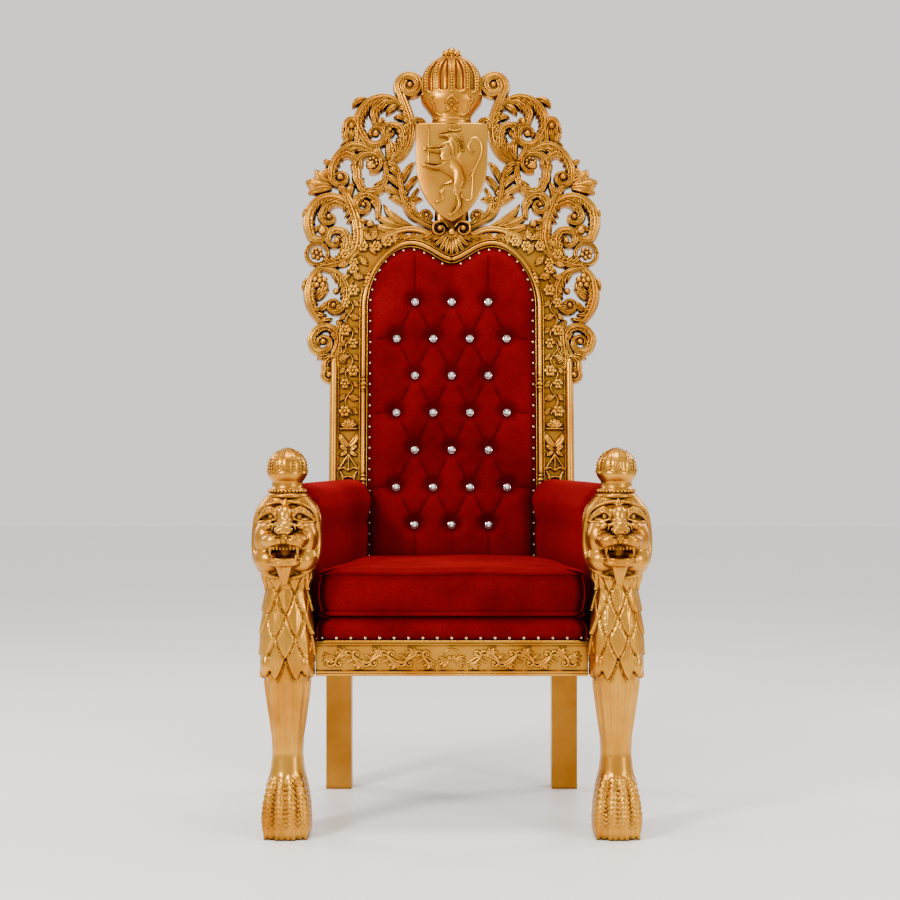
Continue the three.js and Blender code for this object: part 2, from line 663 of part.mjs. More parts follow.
const POST_DRAWN = { height: 838.5, width: 152 };
const postTall = POST_HEIGHT / POST_DRAWN.height;
const postWide = POST_WIDTH / POST_DRAWN.width;

// Sections from the floor up: [z, half width, front y, rear y].
const LEG_ROWS = [
  [0, 49, -70, 48], [16, 55, -75, 52], [52, 56, -75, 52], [84, 53, -66, 48], [142, 37, -42, 42],
  [185, 34, -37, 41], [262, 42.5, -43, 43], [342, 53, -56, 44],
];
const BODY_ROWS = [
  [340, 51, -52, 44], [350, 57, -58, 44], [444, 57, -62, 44],
  [490, 51, -56, 44], [534, 45, -50, 44], [550, 50, -54, 44], [576, 67, -68, 44], [606, 75, -74, 44],
  [660, 76, -72, 44], [698, 74, -66, 42], [718, 64, -58, 36], [732, 46, -50, 30],
];
const FINIAL_Y = -10;

// The front of the post's section at height z, x out from its middle.
function postFront(x, z) {
  const above = BODY_ROWS.findIndex(([height]) => height > z);
  const [lowZ, lowHalf, lowFront, lowRear] = BODY_ROWS[above - 1];
  const [highZ, highHalf, highFront, highRear] = BODY_ROWS[above];
  const share = (z - lowZ) / (highZ - lowZ);
  const half = lowHalf + share * (highHalf - lowHalf);
  const front = lowFront + share * (highFront - lowFront);
  const rear = lowRear + share * (highRear - lowRear);
  const out = Math.min(0.97, Math.abs(x) / half);
  return (front + rear) / 2 - ((rear - front) / 2) * (1 - out ** 2.5) ** 0.4;
}

// A strand laid on the post's front, drawn as [x, z].
function onPost(line, half, ridge, steps) {
  const points = line.map(([x, z]) => [x, postFront(x, z), z]);
  const [middleX] = line[Math.floor(line.length / 2)];
  const out = [middleX / 60, -1, 0];
  return strand(points, out, (t) => [half(t), ridge, 8], steps);
}

const leafHalf = (full) => (t) => full * Math.sin(Math.PI * (0.18 + 0.8 * t));

function lionPost(side) {
  // Every second edge of the leg is a groove: between the four toes below, a flute above.
  const parts = [column(BODY_ROWS, 10), column(LEG_ROWS, 12, 0.85, 0.13)];
  // Overlapping leaves of the body, tips down.
  const leaves = [
    [0, 540, 484], [-28, 520, 436], [28, 520, 436], [0, 476, 388], [-40, 452, 392], [40, 452, 392],
    [0, 392, 346],
  ];
  for (const [x, top, tip] of leaves) {
    parts.push(onPost([[x, top], [x, (top + tip) / 2], [x * 0.94, tip]], leafHalf(25), 4, 1));
  }
  for (const edge of [-1, 1]) {
    parts.push(ball([edge * 46, -22, 374], [11, 28, 24], 6, 4));
  }
  // Face: cheeks and lips, nose, brows, the ridge that frames it, and the beard.
  for (const edge of [-1, 1]) {
    parts.push(ball([edge * 22, -84, 641], [28, 34, 20], 6, 4));
    parts.push(onPost([[edge * 14, 702], [edge * 34, 710], [edge * 60, 684]], () => 8, 9, 2));
    const mane = [[edge * 30, 722], [edge * 62, 700], [edge * 70, 655], [edge * 68, 606], [edge * 40, 570]];
    parts.push(onPost(mane, () => 6, 7, 3));
  }
  const noseTop = [[0, -66, 706], [0, -96, 680], [0, -118, 664], [0, -116, 652]];
  parts.push(strand(noseTop, FRONT, (t) => [16 + 5 * t, 8, 34], 3, 4));
  parts.push(ball([0, -82, 594], [36, 26, 13], 6, 4));
  parts.push(strand([[0, -84, 592], [0, -76, 574], [0, -60, 548]], FRONT, (t) => [12 - 6 * t, 10, 20], 2));
  const upright = ([z, half]) => [z, half, FINIAL_Y - half, FINIAL_Y + half];
  const neck = [[728, 46], [738, 44], [741, 40], [748, 40], [751, 35], [763, 35], [781, 42]];
  const dome = [[779, 41], [792, 43.5], [810, 40], [827, 27], [838.5, 8]];
  parts.push(column(neck.map(upright), 10, 1), column(dome.map(upright), 12, 1, 0.09));
  const mouth = ball([0, -106, 608], [28, 34, 9], 6, 4);
  const carved = geometryOf(joined(parts).subtract(mouth)).scale(postWide, postWide, postTall);
  // The square block at the rail's height takes the rails' ends.
  const inner = -side * POST_JOINT;
  const outer = side * 0.8 * POST_JOINT;
  const joint = block(
    [Math.min(inner, outer), RAIL_LIP, RAIL_BOTTOM],
    [Math.max(inner, outer), POST_BACK, RAIL_TOP],
  );
  return solid(carved).add(joint);
}

for (const [name, side] of [["left", -1], ["right", 1]]) {
  const post = new THREE.Mesh(geometryOf(lionPost(side)), gilt);
  post.name = `lion_post_${name}`;
  post.position.x = (side * POST_SPACING) / 2;
  throne.add(post);
}

// The origin goes to the middle of the footprint, on the floor.
const extent = new THREE.Box3().setFromObject(throne, true);
const middle = extent.getCenter(new THREE.Vector3());
throne.position.set(-middle.x, -middle.y, -extent.min.z);

export default throne;
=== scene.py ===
# A carved and gilded lion throne with red velvet upholstery. Metres, +Z up, the front faces -Y.
import math

import bpy
import numpy as np
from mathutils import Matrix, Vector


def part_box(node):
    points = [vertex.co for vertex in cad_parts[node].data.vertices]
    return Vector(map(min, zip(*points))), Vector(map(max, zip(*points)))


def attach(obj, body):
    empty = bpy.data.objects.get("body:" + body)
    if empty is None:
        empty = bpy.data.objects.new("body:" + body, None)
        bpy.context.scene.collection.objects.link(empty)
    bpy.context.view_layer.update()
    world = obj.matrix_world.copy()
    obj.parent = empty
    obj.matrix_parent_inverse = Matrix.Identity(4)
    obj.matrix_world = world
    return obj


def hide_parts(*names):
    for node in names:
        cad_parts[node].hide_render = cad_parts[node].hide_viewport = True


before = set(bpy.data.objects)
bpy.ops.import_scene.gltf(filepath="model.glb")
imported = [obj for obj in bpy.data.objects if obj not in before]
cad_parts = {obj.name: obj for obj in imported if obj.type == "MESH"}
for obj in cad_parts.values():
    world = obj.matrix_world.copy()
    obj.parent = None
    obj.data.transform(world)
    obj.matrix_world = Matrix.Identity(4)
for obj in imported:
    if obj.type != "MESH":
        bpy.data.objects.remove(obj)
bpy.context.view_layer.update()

MM = 0.001

# Camera: level, 0.85 m up and 4 m in front of the seat, with a long lens, and the picture's frame
# moved down a little. The seat's front line and the floor come from the frame.
seat_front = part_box("seat_cushion")[0][1]
camera_data = bpy.data.cameras.new("camera")
camera_data.lens = 74.4
camera_data.sensor_width = 36
camera_data.shift_y = -10 / 900
camera = bpy.data.objects.new("camera", camera_data)
camera.location = (-0.004, seat_front - 4.025, 0.8535)
camera.rotation_euler = (math.radians(90), 0, 0)
bpy.context.scene.collection.objects.link(camera)
bpy.context.scene.camera = camera


# Studio: a plain pale floor that fades into a pale surround, and soft lights from the front, the
# sides and above, so that the gilding has both light and dark to mirror.
def linear(hex_colour):
    """An sRGB hex colour as linear RGBA."""
    channels = [int(hex_colour[i:i + 2], 16) / 255 for i in (1, 3, 5)]
    lin = [c / 12.92 if c <= 0.04045 else ((c + 0.055) / 1.055) ** 2.4 for c in channels]
    return (*lin, 1.0)


def add_node(tree, kind, links=(), inputs=(), **settings):
    """Adds a node, sets its own settings and its inputs, and links sockets into it."""
    made = tree.nodes.new(kind)
    for name, value in settings.items():
        setattr(made, name, value)
    for name, value in dict(inputs).items():
        made.inputs[name].default_value = value
    for name, source in dict(links).items():
        tree.links.new(source, made.inputs[name])
    return made


def colour_mix(tree, factor, low, high):
    """Two colours mixed by a socket's value."""
    made = add_node(tree, "ShaderNodeMix", {"Factor": factor}, data_type="RGBA")
    made.inputs["A"].default_value = linear(low)
    made.inputs["B"].default_value = linear(high)
    return made.outputs["Result"]


def principled(tree, links, inputs):
    """The surface shader, linked to the material's output."""
    surface = add_node(tree, "ShaderNodeBsdfPrincipled", links, inputs)
    add_node(tree, "ShaderNodeOutputMaterial", {"Surface": surface.outputs["BSDF"]})


def new_material(name):
    """An empty node material and its tree."""
    made = bpy.data.materials.new(name)
    made.use_nodes = True
    made.node_tree.nodes.clear()
    return made, made.node_tree


def new_piece(name, verts, faces, material, smooth=True):
    """A mesh object from points and faces, linked to the scene."""
    mesh = bpy.data.meshes.new(name)
    mesh.from_pydata(np.asarray(verts).tolist(), [], faces if isinstance(faces, list) else faces.tolist())
    mesh.materials.append(material)
    mesh.update()
    if smooth:
        mesh.shade_smooth()
    made = bpy.data.objects.new(name, mesh)
    bpy.context.scene.collection.objects.link(made)
    return made


floor_paint, tree = new_material("matt_studio_floor")
grain = add_node(tree, "ShaderNodeTexNoise", inputs={"Scale": 40.0, "Detail": 3.0})
tint = colour_mix(tree, grain.outputs["Fac"], "#F2F0ED", "#F8F7F5")
principled(tree, {"Base Color": tint}, {"Roughness": 0.35, "IOR": 1.45})

FLOOR_HALF = 14.0
corners = [(-1, -1), (1, -1), (1, 1), (-1, 1)]
floor = new_piece(
    "studio_floor", [(x * FLOOR_HALF, y * FLOOR_HALF, 0) for x, y in corners], [(0, 1, 2, 3)],
    floor_paint, smooth=False,
)

world = bpy.data.worlds.new("pale_surround")
bpy.context.scene.world = world
world.use_nodes = True
world.node_tree.nodes["Background"].inputs["Color"].default_value = linear("#F1EEEA")
world.node_tree.nodes["Background"].inputs["Strength"].default_value = 1.3


def soft_light(name, place, aim, size, watts, colour="#FFF8EE"):
    """A square area light at a place, turned to what it lights."""
    data = bpy.data.lights.new(name, "AREA")
    data.shape = "RECTANGLE"
    data.size, data.size_y = size
    data.energy = watts
    data.color = linear(colour)[:3]
    lamp = bpy.data.objects.new(name, data)
    lamp.location = place
    toward = np.array(aim) - np.array(place)
    tilt = math.atan2(math.hypot(toward[0], toward[1]), -toward[2])
    lamp.rotation_euler = (tilt, 0, math.atan2(-toward[0], toward[1]))
    bpy.context.scene.collection.objects.link(lamp)


THRONE_MIDDLE = (0, 0, 0.95)
soft_light("key_left", (-2.6, -3.4, 3.0), THRONE_MIDDLE, (0.7, 1.0), 230)
soft_light("fill_right", (3.0, -3.0, 1.8), THRONE_MIDDLE, (0.8, 1.6), 70)
soft_light("top", (0, -0.6, 4.2), THRONE_MIDDLE, (2.0, 1.2), 130)
soft_light("rim_left", (-3.0, 1.6, 2.4), THRONE_MIDDLE, (0.6, 2.0), 60)
soft_light("rim_right", (3.0, 1.6, 2.4), THRONE_MIDDLE, (0.6, 2.0), 60)


# Gilding: carved hardwood under satin gold leaf. The leaf varies at random between a worn and a bright
# gold. What stands proud stays bright, and the hollows, found by ambient occlusion, are painted dark
# brown, part real toning and part painted shade. The leaf lies slightly uneven over the wood.
def noise(tree, place, scale, detail, roughness=0.5):
    """A noise pattern over the object's own space, as a socket."""
    inputs = {"Scale": scale, "Detail": detail, "Roughness": roughness}
    return add_node(tree, "ShaderNodeTexNoise", {"Vector": place}, inputs).outputs["Fac"]


def ranged(tree, value, low, high, to_low, to_high):
    """A socket's value taken from one range to another."""
    inputs = {"From Min": low, "From Max": high, "To Min": to_low, "To Max": to_high}
    return add_node(tree, "ShaderNodeMapRange", {"Value": value}, inputs).outputs["Result"]


def gilding(name, worn, bright, toning_and_shade, roughness, hollow_mm):
    """Gold leaf over carved wood; hollows deeper than hollow_mm take a dark brown that is part real toning
    and part painted shade.
    """
    made, tree = new_material(name)
    place = add_node(tree, "ShaderNodeTexCoord").outputs["Object"]
    cloud = noise(tree, place, 9.0, 4.0)
    rub = ranged(tree, cloud, 0.35, 0.7, 0.0, 1.0)
    leafed = colour_mix(tree, rub, worn, bright)
    # Painted shade: where ambient occlusion finds a hollow, the leaf is mixed toward the dark brown, which is
    # part real toning and part painted shade.
    shelter = add_node(
        tree, "ShaderNodeAmbientOcclusion", inputs={"Distance": hollow_mm * MM}, samples=6,
    )
    hollow = ranged(tree, shelter.outputs["AO"], 0.25, 0.95, 0.92, 0.0)
    toned_and_shaded = add_node(tree, "ShaderNodeMix", {"Factor": hollow, "A": leafed}, data_type="RGBA")
    toned_and_shaded.inputs["B"].default_value = linear(toning_and_shade)
    polish = ranged(tree, cloud, 0.3, 0.7, roughness + 0.06, roughness - 0.04)
    ripple = noise(tree, place, 160.0, 3.0)
    bump = add_node(tree, "ShaderNodeBump", {"Height": ripple}, {"Strength": 0.12, "Distance": 0.6 * MM})
    links = {"Base Color": toned_and_shaded.outputs["Result"], "Roughness": polish, "Normal": bump.outputs["Normal"]}
    principled(tree, links, {"Metallic": 1.0})
    return made


# The near-black brown is painted into hollows within 18 mm: part real toning, part painted shade.
carved_gilding = gilding("satin_gold_leaf_on_carving", "#AC6E18", "#CC9434", "#1C0B01", 0.3, 18)


# Lion posts: each is one block of hardwood, carved from the paw through the fluted leg and the leafy
# body to the lion's head, then gilded. The form is worked out as a solid field on a fine grid, in
# millimetres from the post's middle, the seat's front line and the floor.
POST_CELL = 2.5
POST_SECTIONS = [  # height, half width, front, rear
    (0, 46, -64, 45), (6, 51, -69, 49), (18, 53.5, -71, 51), (50, 53, -70, 51), (84, 50, -62, 48),
    (112, 45, -51, 44), (142, 37, -42, 42), (176, 33.5, -35, 40), (212, 34.5, -36, 40),
    (262, 41, -41, 42), (312, 48, -48, 43), (345, 51, -52, 43), (385, 53, -56, 43),
    (430, 53.5, -57, 43), (470, 50, -54, 43), (505, 46, -50, 43), (536, 42, -47, 43),
    (556, 49, -53, 43), (580, 62, -62, 43), (606, 70, -68, 43), (630, 70, -66, 43),
    (660, 72, -66, 43), (690, 71, -62, 42), (708, 66, -56, 40), (722, 56, -50, 34), (736, 43, -46, 26),
]


def smoothed(heights, values, at, blur):
    """Values by height, with the corners of the polyline rounded over blur."""
    spread = np.linspace(-1, 1, 9)
    weights = np.exp(-2 * spread ** 2)
    total = sum(w * np.interp(at + blur * s, heights, values) for s, w in zip(spread, weights))
    return total / weights.sum()


def ellipsoid(centre, radii):
    """Distance to an ellipsoid, with the corners of the box that holds it."""
    def distance(x, y, z):
        scaled = [(p - c) / r for p, c, r in zip((x, y, z), centre, radii)]
        k0 = np.sqrt(sum(s ** 2 for s in scaled)) + 1e-6
        k1 = np.sqrt(sum((s / r) ** 2 for s, r in zip(scaled, radii))) + 1e-6
        return k0 * (k0 - 1) / k1
    return distance, np.subtract(centre, radii), np.add(centre, radii)


def rounded_bar(start, end, start_radius, end_radius):
    """Distance to a straight bar with round ends and a taper, with its box."""
    start, end = np.array(start, float), np.array(end, float)
    along = end - start
    def distance(x, y, z):
        offset = [p - s for p, s in zip((x, y, z), start)]
        share = np.clip(sum(o * a for o, a in zip(offset, along)) / (along @ along), 0, 1)
        gap = np.sqrt(sum((o - share * a) ** 2 for o, a in zip(offset, along)))
        return gap - (start_radius + (end_radius - start_radius) * share)
    most = max(start_radius, end_radius)
    return distance, np.minimum(start, end) - most, np.maximum(start, end) + most


def spline(points, count):
    """Points spaced evenly along a smooth curve through the given ones."""
    points = np.array(points, float)
    ends = np.vstack([2 * points[0] - points[1], points, 2 * points[-1] - points[-2]])
    fine = []
    for a, b, c, d in zip(ends, ends[1:], ends[2:], ends[3:]):
        t = np.linspace(0, 1, 16, endpoint=False)[:, None]
        fine.append(0.5 * (2 * b + (c - a) * t + (2 * a - 5 * b + 4 * c - d) * t ** 2
                           + (3 * b - a - 3 * c + d) * t ** 3))
    fine = np.vstack([*fine, points[-1:]])
    run = np.concatenate([[0], np.cumsum(np.linalg.norm(np.diff(fine, axis=0), axis=1))])
    at = np.linspace(0, run[-1], count)
    return np.stack([np.interp(at, run, fine[:, i]) for i in range(points.shape[1])], axis=1)


class Carving:
    """A solid field on a grid: joined with, cut by and raised over by rounded forms."""

    def __init__(self, low, high, cell):
        self.low = np.array(low, float)
        self.cell = cell
        counts = np.ceil((np.array(high) - self.low) / cell).astype(int) + 1
        self.axes = [self.low[i] + cell * np.arange(counts[i]) for i in range(3)]
        self.field = np.full(counts, 60.0, np.float32)

    def window(self, low, high, margin):
        """The part of the grid round a box: its slices and its places."""
        spans = []
        for i in range(3):
            first = max(0, int((low[i] - margin - self.low[i]) / self.cell))
            last = min(len(self.axes[i]), int((high[i] + margin - self.low[i]) / self.cell) + 2)
            spans.append(slice(first, max(first, last)))
        x, y, z = (self.axes[i][spans[i]] for i in range(3))
        return tuple(spans), x[:, None, None], y[None, :, None], z[None, None, :]

    def join(self, form, soft=3.0):
        """Adds a form, blended in over soft millimetres."""
        distance, low, high = form
        spans, x, y, z = self.window(low, high, soft + 2 * self.cell)
        old, new = self.field[spans], distance(x, y, z)
        share = np.clip(0.5 + 0.5 * (old - new) / soft, 0, 1)
        self.field[spans] = old + (new - old) * share - soft * share * (1 - share)

    def cut(self, form, soft=2.0):
        """Takes a form away, with its edge eased over soft millimetres."""
        distance, low, high = form
        spans, x, y, z = self.window(low, high, soft + 2 * self.cell)
        old, new = self.field[spans], -distance(x, y, z)
        share = np.clip(0.5 - 0.5 * (old - new) / soft, 0, 1)
        self.field[spans] = old + (new - old) * share + soft * share * (1 - share)

    def strand(self, points, radii, soft=3.0, pieces=10):
        """A round strand along a smooth curve, its radius read along radii."""
        line = spline(points, pieces + 1)
        thick = np.interp(np.linspace(0, 1, pieces + 1), np.linspace(0, 1, len(radii)), radii)
        for a, b, ra, rb in zip(line, line[1:], thick, thick[1:]):
            self.join(rounded_bar(a, b, ra, rb), soft)

    def surface(self):
        """The field's skin as quads, by surface nets: points and faces."""
        f = self.field
        inside = f < 0
        shape = np.array(f.shape) - 1
        corner = [(i, j, k) for i in (0, 1) for j in (0, 1) for k in (0, 1)]
        count = sum(inside[i:i + shape[0], j:j + shape[1], k:k + shape[2]].astype(np.int8)
                    for i, j, k in corner)
        cells = np.argwhere((count > 0) & (count < 8))
        number = np.full(shape, -1, np.int64)
        number[tuple(cells.T)] = np.arange(len(cells))
        total = np.zeros((len(cells), 3))
        hits = np.zeros(len(cells))
        for a in corner:
            for axis in range(3):
                if a[axis]:
                    continue
                b = list(a)
                b[axis] = 1
                fa = f[tuple((cells + a).T)]
                fb = f[tuple((cells + b).T)]
                crossed = (fa < 0) != (fb < 0)
                share = np.where(crossed, fa / np.where(crossed, fa - fb, 1), 0)
                place = np.array(a, float) + share[:, None] * (np.array(b) - a)
                total += np.where(crossed[:, None], place, 0)
                hits += crossed
        points = self.low + (cells + total / hits[:, None]) * self.cell
        faces = []
        for axis in range(3):
            u, v = (axis + 1) % 3, (axis + 2) % 3
            low = [slice(1, -1)] * 3
            low[axis] = slice(0, -1)
            high = list(low)
            high[axis] = slice(1, None)
            from_in, to_in = inside[tuple(low)], inside[tuple(high)]
            edges = np.argwhere(from_in != to_in)
            outward = from_in[tuple(edges.T)]
            start = edges + 1
            start[:, axis] -= 1
            ring = []
            for du, dv in ((-1, -1), (0, -1), (0, 0), (-1, 0)):
                cell = start.copy()
                cell[:, u] += du
                cell[:, v] += dv
                ring.append(number[tuple(cell.T)])
            ring = np.stack(ring, axis=1)
            ring[~outward] = ring[~outward][:, ::-1]
            faces.append(ring)
        return points, np.vstack(faces)


def post_block():
    """The post's main form: sections by height, with leaves, flutes and fur raised on it."""
    wood = Carving((-82, -132, -6), (82, 60, 742), POST_CELL)
    x, y, z = wood.axes[0][:, None, None], wood.axes[1][None, :, None], wood.axes[2][None, None, :]
    heights, halves, fronts, rears = (np.array(column, float) for column in zip(*POST_SECTIONS))
    half = smoothed(heights, halves, z, 9)
    front = smoothed(heights, fronts, z, 9)
    rear = smoothed(heights, rears, z, 9)
    middle, deep = (front + rear) / 2, (rear - front) / 2
    ax, ay = np.abs(x) / half, np.abs(y - middle) / deep
    form = (ax ** 2.4 + ay ** 2.4) ** (1 / 2.4)
    block = (form - 1) * np.minimum(half, deep) * 0.95
    turn = np.arctan2(x / half, -(y - middle) / deep)

    # Pointed leaves hang over each other like tiles, eight to a row, each edge cut in sharply.
    leaf_wide = 45.0
    raised = np.zeros_like(block)
    for tip, offset in ((341, 0.5), (388, 0), (435, 0.5), (482, 0), (529, 0.5)):
        up = z - tip
        around = turn / (2 * math.pi / 8) - offset
        aside = np.abs(around - np.round(around)) * leaf_wide
        reach = 22.5 * np.clip(up / 50, 0, 1) ** 0.75
        inside = np.where(up > 0, reach - aside, -np.hypot(aside, up))
        seen = np.clip((104 - up) / 8, 0, 1)
        cover = np.clip(inside / 1.8 + 0.5, 0, 1) * seen
        veins = 0.45 * np.cos(aside * 1.25 - up * 0.10) + 0.9 * np.exp(-(aside / 1.8) ** 2)
        lift = 1.5 + 6.5 * np.clip(1 - up / 104, 0, 1) - 1.6 * (aside / 22) ** 2 + veins
        groove = 3.2 * np.exp(-((inside + 2.6) / 1.9) ** 2) * seen
        raised = (raised - groove) * (1 - cover) + lift * cover
    block = block - raised * (z > 332) * np.clip((572 - z) / 16, 0, 1)

    # Flutes run down the leg and fade at the ankle; neck and ankle carry strokes of fur.
    leg = np.clip((z - 165) / 90, 0, 1) * np.clip((344 - z) / 12, 0, 1)
    block = block + leg * 1.7 * np.cos(turn * 14)
    neck = np.exp(-((z - 556) / 20) ** 2)
    block = block - neck * 1.1 * np.sin(turn * 30 + z * 0.12)
    side_hair = np.clip((np.abs(turn) - 1.25) * 3, 0, 1) * np.clip((z - 575) / 20, 0, 1) * (z < 716)
    block = block - side_hair * 1.3 * np.sin(turn * 24 + 2.2 * np.sin(z * 0.045))
    block = np.maximum(block, z - 734)
    wood.field[:] = block
    return wood


def carve_paw(wood):
    """Four toes with bent knuckles, strokes of fur and blunt claws."""
    for toe in (-1.5, -0.5, 0.5, 1.5):
        back = 9 * (abs(toe) > 1)
        line = [(toe * 15, -34 + back, 138), (toe * 21, -50 + back, 104), (toe * 24.5, -60 + back, 66),
                (toe * 25.5, -61 + back, 34), (toe * 25, -60 + back, 14)]
        wood.strand(line, (6, 10, 12.5, 13.5, 11), soft=3.5, pieces=14)
        for claw in (-1, 1):
            foot = (toe * 25 + claw * 5.5, -66 + back)
            wood.join(rounded_bar((*foot, 16), (*foot, 2), 4.2, 4.6), 1.5)
    spans, x, y, z = wood.window((-60, -90, 18), (60, -8, 140), 0)
    toe = np.clip(np.round(x / 25 - 0.5), -2, 1) + 0.5
    aside = np.abs(x - toe * 24)
    stroke = 1.5 * np.sin((z + 1.1 * aside) * 2 * math.pi / 9.5)
    wood.field[spans] += stroke * np.clip((z - 18) / 12, 0, 1) * np.clip((140 - z) / 25, 0, 1)


def carve_face(wood):
    """Muzzle, nose, open mouth with fangs, eyes, brows, the ridge round the face and the beard."""
    for side in (-1, 1):
        wood.join(ellipsoid((side * 44, -52, 644), (24, 29, 38)), 10)
        wood.join(ellipsoid((side * 34, -62, 598), (30, 26, 26)), 10)
        wood.join(ellipsoid((side * 31, -66, 670), (17, 22, 12)), 6)
        wood.join(ellipsoid((side * 22, -85, 641), (28, 31, 18)), 5)
        wood.cut(ellipsoid((side * 38, -78, 690), (22, 12, 11)), 6)
        wood.join(ellipsoid((side * 29, -68, 691), (7.5, 7.5, 7.5)), 1.5)
        wood.cut(ellipsoid((side * 29, -76, 691), (2.4, 3, 2.4)), 1)
        brow = [(side * u, y, z) for u, y, z in (
            (19, -76, 703), (33, -74, 709), (48, -65, 699), (64, -46, 679))]
        wood.strand(brow, (3, 4, 3.8, 2.6), soft=2, pieces=14)
        lid = [(side * 21, -78, 686), (side * 30, -76, 682), (side * 45, -68, 680), (side * 63, -47, 677)]
        wood.strand(lid, (2.4, 3, 3, 2.2), soft=2, pieces=12)
        upper = [(side * 20, -79, 693), (side * 30, -78, 702), (side * 44, -70, 696), (side * 60, -50, 682)]
        wood.strand(upper, (2.2, 2.8, 2.6, 2), soft=1.2, pieces=12)
        frame_line = [(side * u, y, z) for u, y, z in (
            (6, -55, 722), (34, -54, 716), (59, -42, 700), (68, -34, 662),
            (68, -38, 616), (58, -54, 584), (34, -66, 566), (8, -66, 560))]
        wood.strand(frame_line, (3.5, 4.6, 5.6, 5.6, 6, 6, 5, 3), soft=2.5, pieces=30)
        for drop in (0, 8, 16):
            whisker = [(side * u, y, z - drop) for u, y, z in (
                (6, -111.2, 652), (20, -114.2, 651), (36, -102.2, 644), (46, -86.2, 632))]
            wood.strand(whisker, (1.2, 2.6, 2.2, 1), soft=1.2)
        wood.join(ellipsoid((side * 52, -58, 602), (15, 16, 20)), 6)
    wood.join(ellipsoid((0, -74, 690), (18, 26, 26)), 9)
    wood.join(ellipsoid((0, -88, 672), (19, 28, 15)), 6)
    wood.join(ellipsoid((0, -109, 664), (20.5, 11, 9.5)), 2.5)
    wood.join(ellipsoid((0, -84, 593), (36, 25, 10.5)), 5)
    wood.join(ellipsoid((0, -98, 650), (11, 10, 12)), 4)
    wood.cut(ellipsoid((0, -104, 612), (29, 34, 11)), 2.5)
    wood.join(ellipsoid((0, -82, 602), (15, 18, 4)), 2)
    lip = [(-37, -82, 601), (-20, -103, 602), (0, -108, 600), (20, -103, 602), (37, -82, 601)]
    wood.strand(lip, (2.6, 3.4, 3.4, 3.4, 2.6), soft=1.2, pieces=16)
    for side in (-1, 1):
        wood.join(ellipsoid((side * 9.5, -117, 660), (6.5, 4, 5)), 2)
        wood.cut(ellipsoid((side * 9, -121, 660), (3.6, 5, 3)), 1)
        wood.join(rounded_bar((side * 29, -99, 624), (side * 29.5, -101, 607), 4.4, 1.4), 1)
        wood.join(rounded_bar((side * 25, -99, 600), (side * 25.5, -100, 611), 3.8, 1.3), 1)
    wood.cut(rounded_bar((0, -120, 655), (0, -116, 628), 1.6, 1.6), 1.5)
    nose_ring = [(-25, -97, 662), (-20, -101, 675), (0, -103, 682), (20, -101, 675), (25, -97, 662)]
    wood.strand(nose_ring, (2, 2.8, 3, 2.8, 2), soft=1.5, pieces=18)
    for tooth in range(-3, 4):
        wood.join(ellipsoid((tooth * 7, -106 + abs(tooth), 624), (2.4, 3, 4)), 0.5)
    for lock in (-1, 0, 1):
        beard = [(lock * 13, -96, 594), (lock * 9, -88, 574), (lock * 3, -72, 546)]
        wood.strand(beard, (6.4, 4.6, 2.6), soft=0.8, pieces=10)
    for side in (-1, 0, 1):
        for petal, rise in ((-1, 4), (0, 9), (1, 4)):
            root = (side * 30, -56 + abs(side) * 5, 712 - abs(side) * 4)
            tip = (root[0] + petal * 9, root[1] + 1, root[2] + rise + 4)
            wood.join(rounded_bar((root[0], root[1] - 4, root[2]), tip, 2.8, 4.4), 1)


def carve_volutes(wood):
    """A rolled leaf at each side, below the leafy body."""
    for side in (-1, 1):
        wood.join(ellipsoid((side * 42, -38, 372), (13, 20, 27)), 3)
        for turn in (0, 1, 2):
            grow = 1 - 0.28 * turn
            line = [(side * (36 - 2 * turn), -56 + turn, 372 + 24 * grow),
                    (side * (50 - turn), -44, 372 + 12 * grow),
                    (side * 53, -36, 372 - 8 * grow), (side * (42 - turn), -54, 372 - 24 * grow)]
            wood.strand(line, (1.5, 2.2, 2.2, 1.4), soft=1.5, pieces=8)


wood = post_block()
carve_paw(wood)
carve_volutes(wood)
carve_face(wood)
spans, x, y, z = wood.window((-90, -140, -10), (90, 70, 6), 0)
wood.field[spans] = np.maximum(wood.field[spans], 0.6 - z)
post_points, post_faces = wood.surface()
post_points[:, 2] = np.maximum(post_points[:, 2], 0)

post_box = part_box("lion_post_right")
post_middle = (post_box[0][0] + post_box[1][0]) / 2
for name, side in (("left", -1), ("right", 1)):
    placed = post_points * (side, 1, 1) * MM + (side * post_middle, seat_front, 0)
    faces = post_faces if side > 0 else post_faces[:, ::-1]
    post = new_piece(f"carved_lion_post_{name}", placed, faces, carved_gilding)
    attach(post, "root")
    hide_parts(f"lion_post_{name}")
# Finials: the top of each post's block is turned and carved into a crown, with a beaded ring and a
# dome of pearled ribs, and gilded with the rest.


def chair(points):
    """Millimetres from the middle, the seat's front line and the floor, as metres in the frame."""
    return np.asarray(points, float) * MM + (0, seat_front, 0)


def rings_to_faces(count, around):
    """Quads between rings of points, closed round each ring and capped at both ends."""
    ring = np.arange(around)
    step = np.arange(count - 1)[:, None] * around
    nxt = (ring + 1) % around
    sides = np.stack([step + ring, step + nxt, step + around + nxt, step + around + ring], axis=-1)
    half = np.arange(around // 2 - 1)
    cap = np.stack([half, around - 1 - half, around - 2 - half, half + 1], axis=-1)
    caps = [cap, cap[:, ::-1] + (count - 1) * around]
    return np.vstack([sides.reshape(-1, 4), *caps])


